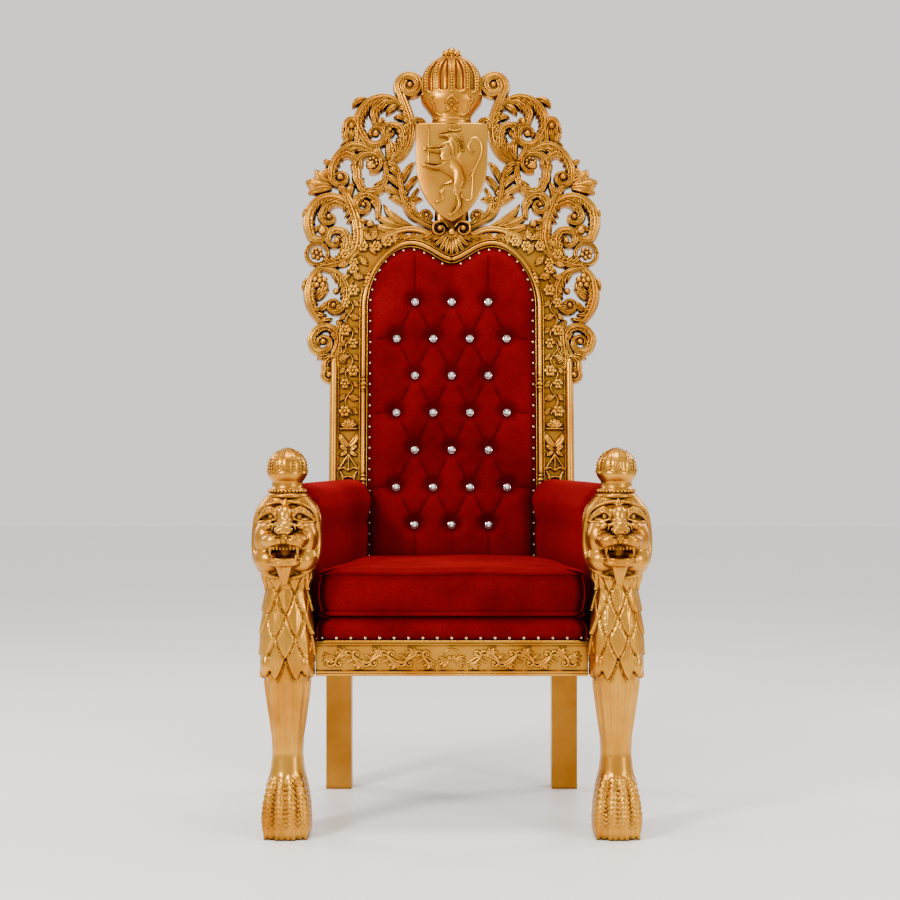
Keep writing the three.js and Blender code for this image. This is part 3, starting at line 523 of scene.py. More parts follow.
def knob(centre, radii, steps=4):
    """A rounded knob of quads: a ball, or a bead stretched along its axes."""
    side = np.linspace(-1, 1, steps + 1)
    u, v = np.meshgrid(np.tan(side * math.pi / 4), np.tan(side * math.pi / 4), indexing="ij")
    one = np.ones_like(u)
    sheets = [(one, u, v), (-one, v, u), (v, one, u), (u, -one, v), (u, v, one), (v, u, -one)]
    points = np.concatenate([np.stack(s, axis=-1).reshape(-1, 3) for s in sheets])
    points /= np.linalg.norm(points, axis=1)[:, None]
    n = steps + 1
    i, j = np.meshgrid(np.arange(steps), np.arange(steps), indexing="ij")
    first = (i * n + j).ravel()
    quad = np.stack([first, first + n, first + n + 1, first + 1], axis=1)
    faces = np.vstack([quad + sheet * n * n for sheet in range(6)])
    return points * radii + centre, faces


def gathered(parts):
    """Several (points, faces) as one."""
    points, faces, count = [], [], 0
    for part_points, part_faces in parts:
        points.append(part_points)
        faces.append(np.asarray(part_faces) + count)
        count += len(part_points)
    return np.vstack(points), np.vstack(faces)


FINIAL_MIDDLE = -10
finial_rows = [
    (730, 44), (732, 45), (737, 44), (739, 40), (741, 37.5), (747, 37.5), (750, 36), (752, 33), (757, 34.2),
    (761, 33), (763, 33.4), (766, 35), (769, 37.5), (777, 42.2), (780, 43.2), (784, 43), (787, 41.5),
    (792, 42.5), (799, 42.3), (806, 41), (814, 37.5), (822, 31.5), (829, 23), (834, 14), (837, 6), (838.2, 1),
]
rings = []
sweep = np.linspace(0, 2 * math.pi, 120, endpoint=False)
for height, radius in finial_rows:
    melon = max(0, min(1, (height - 787) / 5)) * 0.05 * (1 - np.abs(np.cos(sweep * 5))) ** 0.8
    radii = radius * (1 - melon)
    rings.append(np.column_stack([radii * np.sin(sweep), FINIAL_MIDDLE - radii * np.cos(sweep),
                                  np.full_like(sweep, height)]))
finial = [(np.vstack(rings), rings_to_faces(len(rings), len(sweep)))]
row_heights, row_radii = (np.array(column, float) for column in zip(*finial_rows))


def on_dome(turn, height, out=0.0):
    """A place on the finial's round, a turn from its front."""
    radius = np.interp(height, row_heights, row_radii) + out
    return (radius * math.sin(turn), FINIAL_MIDDLE - radius * math.cos(turn), height)


for bead in range(30):
    finial.append(knob(on_dome(bead * math.pi / 15, 744, 1.4), (3.6, 3.6, 3.8), 3))
for rib in range(10):
    turn = rib * math.pi / 5 + 0.2
    for height in (793, 799.5, 806, 812.5, 818.5, 824, 829):
        finial.append(knob(on_dome(turn, height, -0.4), (2.6, 2.6, 2.7), 3))
    for side in (-1, 1):
        for height, spread in ((792, 0.19), (798, 0.17), (804, 0.14), (810, 0.11)):
            place = on_dome(turn + math.pi / 10 + side * spread * 0.5, height, -1)
            finial.append(knob(place, (1.9, 2.2, 4.4), 2))
for wave in range(40):
    turn = wave * math.pi / 20
    finial.append(knob(on_dome(turn, 786 + 2 * math.sin(turn * 10), -0.2), (4.2, 2.4, 2.4), 2))
finial_points, finial_faces = gathered(finial)
for name, side in (("left", -1), ("right", 1)):
    placed = finial_points * (side, 1, 1) + (side * post_middle / MM, 0, 0)
    faces = finial_faces if side > 0 else finial_faces[:, ::-1]
    crown_top = new_piece(f"crowned_finial_{name}", chair(placed), faces, carved_gilding)
    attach(crown_top, "root")
    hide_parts(f"lion_post_{name}")


# Front rail: a gilded hardwood rail, moulded along its top and bottom edges, its field carved with
# a vine that runs out both ways from a bow. Drawn in millimetres: across, forward of the seat's
# front line, and up from the floor.
def length_of(line):
    """The length of a line through its points."""
    return float(np.sum(np.hypot(*np.diff(np.array(line, float), axis=0).T)))


def carved_strand(line, widths, heights, ribs=1, base=0.0, steps=None):
    """A carved strand lying on a face: quads for a section with raised edges and rounded ribs.

    line holds (across, up) points, widths its half widths and heights its rise over the face along
    the way; its flat rear lies at base. Points come back as (across, rise, up)."""
    path = spline(line, steps or max(8, int(length_of(line) / 3.2)))
    share = np.linspace(0, 1, len(path))
    width = np.interp(share, np.linspace(0, 1, len(widths)), widths)
    height = np.interp(share, np.linspace(0, 1, len(heights)), heights)
    tangent = np.gradient(path, axis=0)
    tangent /= np.linalg.norm(tangent, axis=1)[:, None] + 1e-9
    aside = np.stack([tangent[:, 1], -tangent[:, 0]], axis=1)
    x = np.linspace(-1, 1, 4 * ribs + 3 if ribs > 1 else 7)
    lift = np.sqrt(np.clip(1 - 0.86 * x ** 2, 0, 1))
    if ribs > 1:
        lift = lift * (0.7 + 0.3 * np.abs(np.sin(ribs * math.pi * (x + 1) / 2)) ** 0.7)

    def row(shares, rise):
        """Points across the strand, by their shares of its half width."""
        reach = width[:, None] * shares
        across, up = (path[:, i:i + 1] + aside[:, i:i + 1] * reach for i in (0, 1))
        return np.stack([across, rise, up], axis=-1)

    front = row(x, base + height[:, None] * lift)
    rear = row(np.array([1.0, 0.0, -1.0]), np.full((len(path), 3), base))
    rings = np.concatenate([front, rear], axis=1)
    return rings.reshape(-1, 3), rings_to_faces(len(path), rings.shape[1])


def spiral(stem, eye, turns, core=0.3):
    """A stem's points, then a coil of so many turns in round its eye."""
    line = [tuple(p) for p in stem]
    reach = math.hypot(line[-1][0] - eye[0], line[-1][1] - eye[1])
    start = math.atan2(line[-1][1] - eye[1], line[-1][0] - eye[0])
    count = max(4, int(abs(turns) * 12))
    for i in range(1, count + 1):
        turn = start + 2 * math.pi * turns * i / count
        radius = reach * (1 - (1 - core) * i / count)
        line.append((eye[0] + radius * math.cos(turn), eye[1] + radius * math.sin(turn)))
    return line


def leaf(root, tip, bow, half, rise, ribs=3, base=0.0):
    """One lobe of a carved leaf, from its root to its tip, bent aside by bow."""
    root, tip = np.array(root, float), np.array(tip, float)
    along = tip - root
    across = np.array([-along[1], along[0]]) / (np.linalg.norm(along) + 1e-9)
    line = [root, root + along * 0.35 + across * bow * 0.8, root + along * 0.7 + across * bow * 0.8, tip]
    widths = [0.42 * half, 0.8 * half, half, 0.98 * half, 0.72 * half, 0.16 * half]
    heights = [0.7 * rise, 0.85 * rise, rise, 1.05 * rise, rise, 0.55 * rise]
    return carved_strand(line, widths, heights, ribs=ribs, base=base,
                         steps=max(7, int(np.linalg.norm(along) / 4)))


rail_low, rail_high = (np.array(corner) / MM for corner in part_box("front_rail"))
rail_end, rail_bottom, rail_top = rail_high[0], rail_low[2], rail_high[2]
rail_rear = rail_high[1] - seat_front / MM
rail_profile = np.array([
    (rail_rear, rail_bottom), (rail_rear, rail_top), (-3.4, rail_top), (-4.9, rail_top - 1.4),
    (-4.9, rail_top - 4.6), (-3.2, rail_top - 6), (-4.4, rail_top - 7.2), (-4.4, rail_top - 10),
    (-1.6, rail_top - 11.4), (0.6, rail_top - 13.2), (0.6, rail_bottom + 13.2), (-1.6, rail_bottom + 11.4),
    (-4.4, rail_bottom + 10), (-4.4, rail_bottom + 7.2), (-3.2, rail_bottom + 6),
    (-4.9, rail_bottom + 4.6), (-4.9, rail_bottom + 1.4), (-3.4, rail_bottom),
])
rail_stations = np.linspace(-rail_end, rail_end, 60)
rings = np.array([[(x, y, z) for y, z in rail_profile] for x in rail_stations])
rail_parts = [(rings.reshape(-1, 3), rings_to_faces(len(rings), len(rail_profile)))]
rail_middle = (rail_bottom + rail_top) / 2 - 1
vine = []
for side in (-1, 1):
    stations = [34 + 38 * i for i in range(7)]
    wave = [(side * x, rail_middle + (9 if i % 2 else -9)) for i, x in enumerate(stations)]
    vine.append(carved_strand(wave, [2.6, 3.6, 3.6, 3.4, 2], [3.6, 4.8, 5, 4.8, 3.4], ribs=1))
    for i, x in enumerate(stations[:-1]):
        up = 1 if i % 2 else -1
        eye = (side * (x + 20), rail_middle - up * 9)
        stem = [(side * (x + 2), rail_middle + up * 12), (side * (x + 16), rail_middle + up * 9),
                (side * (x + 28), rail_middle - up * 4)]
        coil = spiral(stem, eye, -side * up * 0.8, core=0.34)
        vine.append(carved_strand(coil, [2.2, 3.8, 3.6, 3.2, 2.4], [3.8, 5.6, 5.6, 5.2, 4], ribs=1))
        vine.append(knob((eye[0], 2.6, eye[1]), (3.2, 2.6, 3.2), 3))
        back_stem = [(side * (x + 24), rail_middle - up * 4), (side * (x + 34), rail_middle - up * 16),
                     (side * (x + 44), rail_middle - up * 14)]
        back_coil = spiral(back_stem, (side * (x + 40), rail_middle - up * 9), side * up * 0.7, core=0.4)
        vine.append(carved_strand(back_coil, [2, 3, 2.8, 2.2], [3.6, 5, 5, 4], ribs=1))
        vine.append(leaf((side * (x + 26), rail_middle - up * 2), (side * (x + 44), rail_middle + up * 7),
                         side * up * 3, 4.4, 5, ribs=2))
        for spread, reach in ((-0.5, 18), (0.1, 23), (0.7, 20)):
            root = (side * (x + 10), rail_middle + up * 7)
            tip = (root[0] + side * reach * math.sin(spread + 0.55),
                   min(max(root[1] + up * reach * math.cos(spread + 0.55), rail_bottom + 14), rail_top - 15))
            vine.append(leaf(root, tip, side * up * 3, 5, 5, ribs=2))
    for spread in (-0.62, -0.2, 0.22, 0.6):
        root = (side * stations[-1] - side * 6, rail_middle)
        tip = (root[0] + side * 26 * math.cos(spread), root[1] + 26 * math.sin(spread))
        vine.append(leaf(root, tip, 3 * spread, 4.4, 4.6, ribs=2))
    for spread in (-0.75, -0.4, -0.05, 0.3):
        root = (side * 6, rail_middle - 3)
        tip = (root[0] + side * 25 * math.cos(spread), root[1] + 25 * math.sin(spread))
        vine.append(leaf(root, tip, 1.5, 4.6, 5.2, ribs=2))
    vine.append(knob((side * 4.6, 3.2, rail_middle + 2), (5, 2.2, 5), 4))
arc = [(18 * math.cos(a), rail_middle + 4 + 17 * math.sin(a)) for a in np.linspace(0.15, math.pi - 0.15, 12)]
vine.append(carved_strand(arc, [1.8, 2.2, 1.8], [3, 3.4, 3], ribs=1))
vine_points, vine_faces = gathered(vine)
vine_points[:, 1] = 0.9 - np.clip(vine_points[:, 1], 0, 5.8)
rail_parts.append((vine_points, vine_faces))
rail_points, rail_faces = gathered(rail_parts)
front_rail = new_piece("moulded_front_rail", chair(rail_points), rail_faces, carved_gilding)
front_rail.data.set_sharp_from_angle(angle=math.radians(50))
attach(front_rail, "root")
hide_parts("front_rail")


# Side rails, rear rail and back legs: plain squared hardwood with eased edges, gilded like the
# carving but smooth, so the leaf shows its soft unevenness.
# The dark brown is painted into hollows within 8 mm: part real toning, part painted shade.
plain_gilding = gilding("satin_gold_leaf_on_plain_wood", "#9C6418", "#B67E2A", "#301602", 0.38, 8)
for name in ("side_rail_left", "side_rail_right", "rear_rail", "back_leg_left", "back_leg_right"):
    timber = new_piece(f"gilded_{name}", [], [], plain_gilding)
    timber.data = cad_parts[name].data.copy()
    timber.data.materials.clear()
    timber.data.materials.append(plain_gilding)
    eased = timber.modifiers.new("eased_edges", "BEVEL")
    eased.width = 3 * MM
    eased.segments = 3
    eased.limit_method = "ANGLE"
    bpy.context.view_layer.objects.active = timber
    bpy.ops.object.modifier_apply(modifier="eased_edges")
    timber.data.shade_smooth()
    timber.data.set_sharp_from_angle(angle=math.radians(35))
    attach(timber, "root")
    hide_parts(name)


# Velvet: short dense pile, deep red, brighter where the pile is seen edge on, darker in patches where
# it has been brushed the other way, with painted shade in its folds, and a fine nap.
def velvet(name, deep, lit, sheen, sheen_weight):
    """A pile fabric: a cloudy nap between two reds, painted shade where it folds in, and a soft sheen."""
    made, tree = new_material(name)
    place = add_node(tree, "ShaderNodeTexCoord").outputs["Object"]
    brushed = noise(tree, place, 7.0, 5.0, 0.6)
    nap = noise(tree, place, 420.0, 2.0)
    spread = ranged(tree, brushed, 0.3, 0.7, 0.25, 0.75)
    speck = add_node(tree, "ShaderNodeMath", {0: spread, 1: nap}, operation="MULTIPLY")
    # Painted shade: folds and pleats, found by ambient occlusion over 40 mm, are darkened toward the deep
    # red.
    shelter = add_node(
        tree, "ShaderNodeAmbientOcclusion", inputs={"Distance": 40 * MM}, samples=6,
    )
    painted_fold_shade = ranged(tree, shelter.outputs["AO"], 0.35, 0.97, 0.0, 1.15)
    shade = add_node(
        tree, "ShaderNodeMath", {0: speck.outputs["Value"], 1: painted_fold_shade}, operation="MULTIPLY",
    )
    pile = colour_mix(tree, shade.outputs["Value"], deep, lit)
    bump = add_node(tree, "ShaderNodeBump", {"Height": nap}, {"Strength": 0.35, "Distance": 0.5 * MM})
    principled(
        tree, {"Base Color": pile, "Normal": bump.outputs["Normal"]},
        {"Roughness": 0.95, "Specular IOR Level": 0.04, "Sheen Weight": sheen_weight,
         "Sheen Roughness": 0.42, "Sheen Tint": linear(sheen)},
    )
    return made


red_velvet = velvet("short_pile_red_velvet", "#300001", "#8A0008", "#FF0A1C", 0.24)


# Seat deck and loose cushion: foam under velvet. The deck is tacked along the rail and swells in
# front; the cushion is boxed, with a piped seam round its top and bottom edges and a low crown.
SEAT_TAPER = 0.19  # how far each side runs in, for each millimetre towards the back
TAPER_FROM = 44


def seat_outline(front, grow, bow, corner, count=64):
    """The plan between the arms as a closed line, its corners rounded, its front bowed out."""
    low, high = (np.array(c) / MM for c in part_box("seat_cushion"))
    half, rear = high[0] + grow, high[1] - seat_front / MM + min(grow, 0)
    rear_half = half - SEAT_TAPER * (rear - TAPER_FROM)
    corners = [(-half, front), (half, front), (half, TAPER_FROM), (rear_half, rear),
               (-rear_half, rear), (-half, TAPER_FROM)]
    radii = [corner, corner, 60, 14, 14, 60]
    line = []
    for i, (corner_point, radius) in enumerate(zip(corners, radii)):
        here = np.array(corner_point)
        before, after = np.array(corners[i - 1]), np.array(corners[(i + 1) % 6])
        to_before = (before - here) / np.linalg.norm(before - here)
        to_after = (after - here) / np.linalg.norm(after - here)
        a, b = here + to_before * radius, here + to_after * radius
        for t in np.linspace(0, 1, 9):
            line.append(a * (1 - t) ** 2 + 2 * here * t * (1 - t) + b * t ** 2)
    line = np.array(line + [line[0]])
    run = np.concatenate([[0], np.cumsum(np.linalg.norm(np.diff(line, axis=0), axis=1))])
    at = np.linspace(0, run[-1], count * 4, endpoint=False)
    line = np.stack([np.interp(at, run, line[:, i]) for i in (0, 1)], axis=1)
    near_front = np.clip(1 - (line[:, 1] - front) / 60, 0, 1)
    line[:, 1] -= bow * near_front * (1 - (line[:, 0] / half) ** 2)
    return line


def boxed(outline, profile, crown, crown_steps=26):
    """Rings of an outline shrunk by (inset, height) rows, closed by a crowned top and a flat bottom."""
    centre = (outline.min(axis=0) + outline.max(axis=0)) / 2
    half = (outline.max(axis=0) - outline.min(axis=0)) / 2
    (first_inset, lowest), (last_inset, highest) = profile[0], profile[-1]
    rows = [(share * (1 - first_inset / half), lowest, 0) for share in np.linspace(0.02, 0.96, 8)]
    rows += [(1 - inset / half, height, 0) for inset, height in profile]
    rows += [(share * (1 - last_inset / half), highest, crown)
             for share in np.linspace(1, 0.02, crown_steps)[1:]]
    rings = []
    for scale, height, rise in rows:
        flat = centre + (outline - centre) * scale
        across = np.abs(flat - centre) / half
        dome = np.clip(np.prod(1 - across ** 3.2, axis=1), 0, None)
        rings.append(np.column_stack([flat, height + rise * dome ** 0.8]))
    return np.array(rings)


deck_low, deck_high = (np.array(c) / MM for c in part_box("seat_deck"))
deck_outline = seat_outline(3, -1, 0, 16)
deck_profile = [(1, deck_low[2]), (0, deck_low[2] + 1)]
deck_profile += [(-4.5 * math.sin(math.pi * t) + 9 * t ** 4, deck_low[2] + 1 + 46 * t)
                 for t in np.linspace(0, 1, 14)[1:]]
deck_profile += [(14, deck_high[2] - 1.4), (22, deck_high[2] - 0.6)]
deck_rings = boxed(deck_outline, deck_profile, 0, 10)
deck = new_piece("velvet_seat_deck", chair(deck_rings.reshape(-1, 3)),
                 rings_to_faces(len(deck_rings), len(deck_outline)), red_velvet)
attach(deck, "root")
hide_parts("seat_deck")

cushion_low, cushion_high = (np.array(c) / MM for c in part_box("seat_cushion"))
bottom, top = cushion_low[2], cushion_high[2]
cushion_outline = seat_outline(4, -3, 3, 22)
cushion_profile = [(16, bottom + 0.5), (8, bottom + 1.2), (3.2, bottom + 3)]
for turn in np.linspace(-80, 90, 7):
    a = math.radians(turn)
    cushion_profile.append((3.4 - 4 * math.cos(a), bottom + 6.6 + 4 * math.sin(a)))
cushion_profile += [(4.6, bottom + 11.5)]
side_from, side_to = bottom + 13, top - 11
for t in np.linspace(0, 1, 12):
    cushion_profile.append((4.2 - 6.2 * math.sin(math.pi * t) ** 0.8, side_from + (side_to - side_from) * t))
cushion_profile += [(4.6, top - 9.5)]
for turn in np.linspace(-90, 80, 7):
    a = math.radians(turn)
    cushion_profile.append((3.6 - 4 * math.cos(a), top - 5 + 4 * math.sin(a)))
cushion_profile += [(6.4, top - 1.6), (12, top + 0.6)]
cushion_rings = boxed(cushion_outline, cushion_profile, 10)
place = cushion_rings.reshape(-1, 3)
sag = np.sin(place[:, 0] * 0.021 + 0.6) * np.sin(place[:, 1] * 0.017 + 1.3)
place[:, 2] += sag * 1.6 * np.clip((place[:, 2] - bottom) / (top - bottom), 0, 1)
corner_pull = np.clip(np.abs(place[:, 0]) / 288 - 0.86, 0, 1) * np.clip(1 - place[:, 1] / 60, 0, 1)
place[:, 2] -= 22 * corner_pull * (place[:, 2] > top - 14)
edge_pucker = (np.sin(place[:, 0] * 0.16 + np.sin(place[:, 0] * 0.047) * 2) * 0.45
               * np.clip(1 - np.abs(place[:, 1]) / 16, 0, 1))
place[:, 1] += edge_pucker
cushion = new_piece("boxed_seat_cushion", chair(place),
                    rings_to_faces(len(cushion_rings), len(cushion_outline)), red_velvet)
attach(cushion, "root")
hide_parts("seat_cushion")


# Arms: rolled pads of foam under velvet, each drawn in to a covered tuck at the front of its roll,
# where the velvet gathers in a fan of folds.
LEAN = math.radians(7.5)  # of the back
ARM_ROLL = 56.0
ARM_INNER = 289.0
ARM_FRONT = 44.4
BOARD_FOOT = 525  # where the back board's face meets the rail's top, behind the seat's front line
RAIL_TOP = 420
BOARD_HALF = 207.5


def tucked(t):
    """How far the panel under the roll is drawn in, with a crease close below the roll."""
    return 6.5 * math.sin(math.pi * t) ** 0.6 + 4.5 * math.exp(-((t - 0.84) / 0.05) ** 2)


for name, side in (("left", -1), ("right", 1)):
    arm_low, arm_high = (np.array(c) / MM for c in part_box(f"arm_{name}"))
    tall = arm_high[2] - arm_low[2]
    centre_height = arm_high[2] - ARM_ROLL
    profile = []
    for t in np.linspace(0, 1, 26, endpoint=False):
        profile.append((ARM_ROLL - tucked(t), (tall - ARM_ROLL) * t))
    for turn in np.linspace(0, math.pi, 33):
        profile.append((ARM_ROLL * math.cos(turn), tall - ARM_ROLL + ARM_ROLL * math.sin(turn)))
    for t in np.linspace(1, 0, 26, endpoint=False)[1:]:
        profile.append((-ARM_ROLL + tucked(t), (tall - ARM_ROLL) * t))
    profile += [(-ARM_ROLL, 0.0), (0.0, 0.0)]
    profile = np.array(profile)
    rings = []
    for run in [0, 0.6, 2, 4.5, 8, 13, 19, *np.linspace(26, 521, 70)]:
        ease = 9 * (1 - min(run / 26, 1)) ** 2.2 - 0.8 * math.sin(math.pi * min(run / 460, 1))
        shrink = np.array([1 - ease / ARM_ROLL, 1 - ease / tall])
        x, z = profile.T * shrink[:, None]
        z = z + arm_low[2]
        angle = np.arctan2(z - centre_height, x * side * -1)
        gather = np.exp(-run / 38) * np.clip((z - centre_height + 30) / 40, 0, 1)
        fold = 2.6 * np.sin(angle * 15) * gather
        x = x + fold * np.cos(angle) * -side
        z = z + fold * np.sin(angle)
        # The rear end stops at the leaning back: at its padding, and beside that at the stile's carving.
        board_line = BOARD_FOOT + (z - RAIL_TOP) * math.tan(LEAN)
        over = np.abs(side * (ARM_INNER + ARM_ROLL) + x - side * SEAT_TAPER * run) < BOARD_HALF
        y = np.minimum(ARM_FRONT + run, board_line - np.where(over, 34.5, 16))
        inward = side * SEAT_TAPER * (y - ARM_FRONT)
        rings.append(np.column_stack([side * (ARM_INNER + ARM_ROLL) + x - inward, y, z]))
    rings = np.array(rings)
    faces = rings_to_faces(len(rings), len(profile))
    arm = new_piece(f"rolled_arm_{name}", chair(rings.reshape(-1, 3)), faces[:, ::-1], red_velvet)
    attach(arm, "root")
    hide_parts(f"arm_{name}")


# Back padding: deep buttoned velvet over foam, inside the arch of the carved frame. The pleats run
# from button to button in diamonds, up to the top edge and out to the sides; a flat border takes the
# nails. The back leans, so it is drawn across, in depth from the board's face, and up along the lean.
ARCH_HALF = 207
ARCH_SPRING = 770
lean_foot_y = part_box("back_leg_left")[0][1]
lean_foot_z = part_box("front_rail")[1][2]


def leaned(points):
    """Millimetres across, behind the board's face and up the back, as metres in the frame."""
    across, deep, up = np.asarray(points, float).T * MM
    y = lean_foot_y + deep * math.cos(LEAN) + up * math.sin(LEAN)
    z = lean_foot_z - deep * math.sin(LEAN) + up * math.cos(LEAN)
    return np.column_stack([across, y, z])


def bezier(a, b, c, d, count):
    """Points along a cubic curve from a to d, drawn towards b and c."""
    t = np.linspace(0, 1, count)[:, None]
    a, b, c, d = (np.array(p, float) for p in (a, b, c, d))
    return a * (1 - t) ** 3 + 3 * b * t * (1 - t) ** 2 + 3 * c * t ** 2 * (1 - t) + d * t ** 3


def heart_arch(grow, count=60):
    """One side of the opening's edge, from its foot up to the dip, moved out by grow."""
    edge, hump, top, dip, spring = ARCH_HALF + grow, 102, 922 + grow, 880 + grow, ARCH_SPRING
    shoulder = bezier((edge, spring), (edge, spring + 85), (hump + 55, top), (hump, top), count)
    heart = bezier((hump, top), (hump - 42, top), (30, dip + grow * 0.35), (0, dip), count)
    return np.vstack([shoulder, heart[1:]])


def arch_columns(grow, bottom, columns, rows):
    """A grid under the arch: points (across, up), with columns closer together at its sides."""
    share = np.linspace(-1, 1, columns)
    edge = heart_arch(grow, 240)
    across = (ARCH_HALF + grow) * np.sign(share) * (1 - (1 - np.abs(share)) ** 1.5)
    order = np.argsort(edge[:, 0])
    ceiling = np.interp(np.abs(across), edge[order, 0], edge[order, 1])
    rise = np.linspace(0, 1, rows)
    up = bottom + (ceiling - bottom) * rise[:, None]
    return np.stack([np.broadcast_to(across, up.shape), up], axis=-1)


def edge_distance(points, grow, bottom):
    """How far each point is from the arch's edge or its foot."""
    straight = np.column_stack([np.full(200, ARCH_HALF + grow), np.linspace(bottom, ARCH_SPRING, 200)])
    half = np.vstack([straight, heart_arch(grow, 160)])
    line = np.vstack([half, half[::-1] * (-1, 1)])
    flat = points.reshape(-1, 2)
    nearest = np.full(len(flat), 1e9)
    for some in np.array_split(line, 24):
        gap = np.hypot(flat[:, :1] - some[:, 0], flat[:, 1:] - some[:, 1]).min(axis=1)
        nearest = np.minimum(nearest, gap)
    return np.minimum(nearest, flat[:, 1] - bottom).reshape(points.shape[:2])


def shell_faces(rows, columns):
    """Quads of a grid of rows and columns, and its border as a ring of point numbers."""
    grid = np.arange(rows * columns).reshape(rows, columns)
    quads = np.stack([grid[:-1, :-1], grid[:-1, 1:], grid[1:, 1:], grid[1:, :-1]], axis=-1).reshape(-1, 4)
    border = np.concatenate([grid[0, :-1], grid[:-1, -1], grid[-1, :0:-1], grid[:0:-1, 0]])
    return quads, border


def closed_shell(front, rows, columns, deep):
    """A grid's front face closed by a wall back to one depth and a flat rear."""
    quads, border = shell_faces(rows, columns)
    count = len(front)
    rear = front[border].copy()
    rear[:, 1] = deep
    ring = np.arange(len(border))
    nxt = np.roll(ring, -1)
    walls = np.stack([border, ring + count, nxt + count, border[nxt]], axis=1)
    faces = quads.tolist() + walls.tolist() + [(ring[::-1] + count).tolist()]
    return np.vstack([front, rear]), faces


TUFT_PITCH, TUFT_RISE, TUFT_TOP = 91.0, 93.0, 782.5
buttons = {}
for row in range(7):
    count = 4 if row % 2 else 3
    for i in range(count):
        place = ((i - (count - 1) / 2) * TUFT_PITCH, TUFT_TOP - row * TUFT_RISE)
        buttons[f"r{row + 1}_{i + 1}"] = place
places = list(buttons.values())
pleats = [(a, b) for a in places for b in places
          if 0 < a[1] - b[1] < TUFT_RISE * 1.1 and abs(a[0] - b[0]) < TUFT_PITCH * 0.6]
pleats += [(p, (p[0], 940)) for p in places if p[1] > 780]
pleats += [(p, (p[0], 20)) for p in places if p[1] < 240]
pleats += [(p, (math.copysign(215, p[0]), p[1] - 5)) for p in places if abs(p[0]) > 120]

PAD_ROWS, PAD_COLUMNS, PAD_FOOT = 256, 196, 31.0
pad_grid = arch_columns(-0.6, PAD_FOOT, PAD_COLUMNS, PAD_ROWS)
across, up = pad_grid[..., 0], pad_grid[..., 1]
inward = edge_distance(pad_grid, -0.6, PAD_FOOT)
nearest = np.full(across.shape, 1e9)
lip = np.zeros_like(across)
for (ax, av), (bx, bv) in pleats:
    run = np.array([bx - ax, bv - av])
    length = np.hypot(*run)
    along = np.clip(((across - ax) * run[0] + (up - av) * run[1]) / length ** 2, 0, 1)
    gap = np.hypot(across - ax - along * run[0], up - av - along * run[1])
    signed = ((across - ax) * run[1] - (up - av) * run[0]) / length * (1 if run[0] >= 0 else -1)
    near = np.exp(-((signed - 3.4) / 2.4) ** 2) * (gap < 12) * np.clip(along * length / 14, 0, 1)
    lip = np.maximum(lip, near)
    nearest = np.minimum(nearest, gap)
closest_button = np.min([np.hypot(across - bu, up - bv) for bu, bv in places], axis=0)
swell = np.sqrt(1 - (1 - np.clip(nearest / 42, 0, 1)) ** 2)
groove = np.exp(-(nearest / 1.7) ** 2)
dimple = np.exp(-(np.maximum(closest_button - 9, 0) / 15) ** 2)
roll = np.sqrt(1 - (1 - np.clip((inward - 8) / 38, 0, 1)) ** 2)
pillow = 17.5 + (9 * swell + 1.8 * lip - 1.8 * groove) * (1 - 0.95 * dimple) - 12 * dimple
creases = (0.35 * np.sin(across * 0.21 + 3 * np.sin(up * 0.05)) * np.exp(-((closest_button - 28) / 12) ** 2))
pad_depth = -(6 + roll * (pillow + creases))
pad_front = np.column_stack([across.ravel(), pad_depth.ravel(), up.ravel()])
pad_points, pad_faces = closed_shell(pad_front, PAD_ROWS, PAD_COLUMNS, 23.5)
pad = new_piece("buttoned_back_padding", leaned(pad_points), pad_faces, red_velvet)
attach(pad, "root")
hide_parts("back_pad")


# Crystal buttons: cut glass with a silvered back, each in a thin rim and sewn through the padding.
# They show as small clear sparks, each facet lighter or darker than the next.
cut_glass, tree = new_material("silver_backed_cut_glass")
place = add_node(tree, "ShaderNodeTexCoord").outputs["Object"]
flicker = noise(tree, place, 260.0, 1.0)
backing = colour_mix(tree, flicker, "#E8ECF2", "#FFFFFF")
gloss = ranged(tree, flicker, 0.0, 1.0, 0.04, 0.14)
principled(
    tree, {"Base Color": backing, "Roughness": gloss},
    {"Metallic": 0.9, "Coat Weight": 0.6, "Coat Roughness": 0.03},
)

BUTTON_SIDES = 12
BUTTON_SEAT = -12.3  # the bottom of a dimple, in front of the board's face
cut_rows = [(0.3, 9.2, 0), (3.0, 9.5, 0), (3.6, 8.8, 0), (3.9, 8.2, 0.5), (6.6, 6.4, 0), (8.2, 3.9, 0.5)]
for name, (bu, bv) in buttons.items():
    rings = []
    for rise, radius, turn in cut_rows:
        angle = (np.arange(BUTTON_SIDES) + turn) * 2 * math.pi / BUTTON_SIDES
        rings.append(np.column_stack([bu + radius * np.cos(angle), np.full(BUTTON_SIDES, BUTTON_SEAT - rise),
                                      bv + radius * np.sin(angle)]))
    rows = len(rings)
    faces = rings_to_faces(rows, BUTTON_SIDES)[:, ::-1]
    button = new_piece(f"crystal_button_{name}", leaned(np.vstack(rings)), faces, cut_glass, smooth=False)
    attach(button, "root")
    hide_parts(f"back_button_{name}")


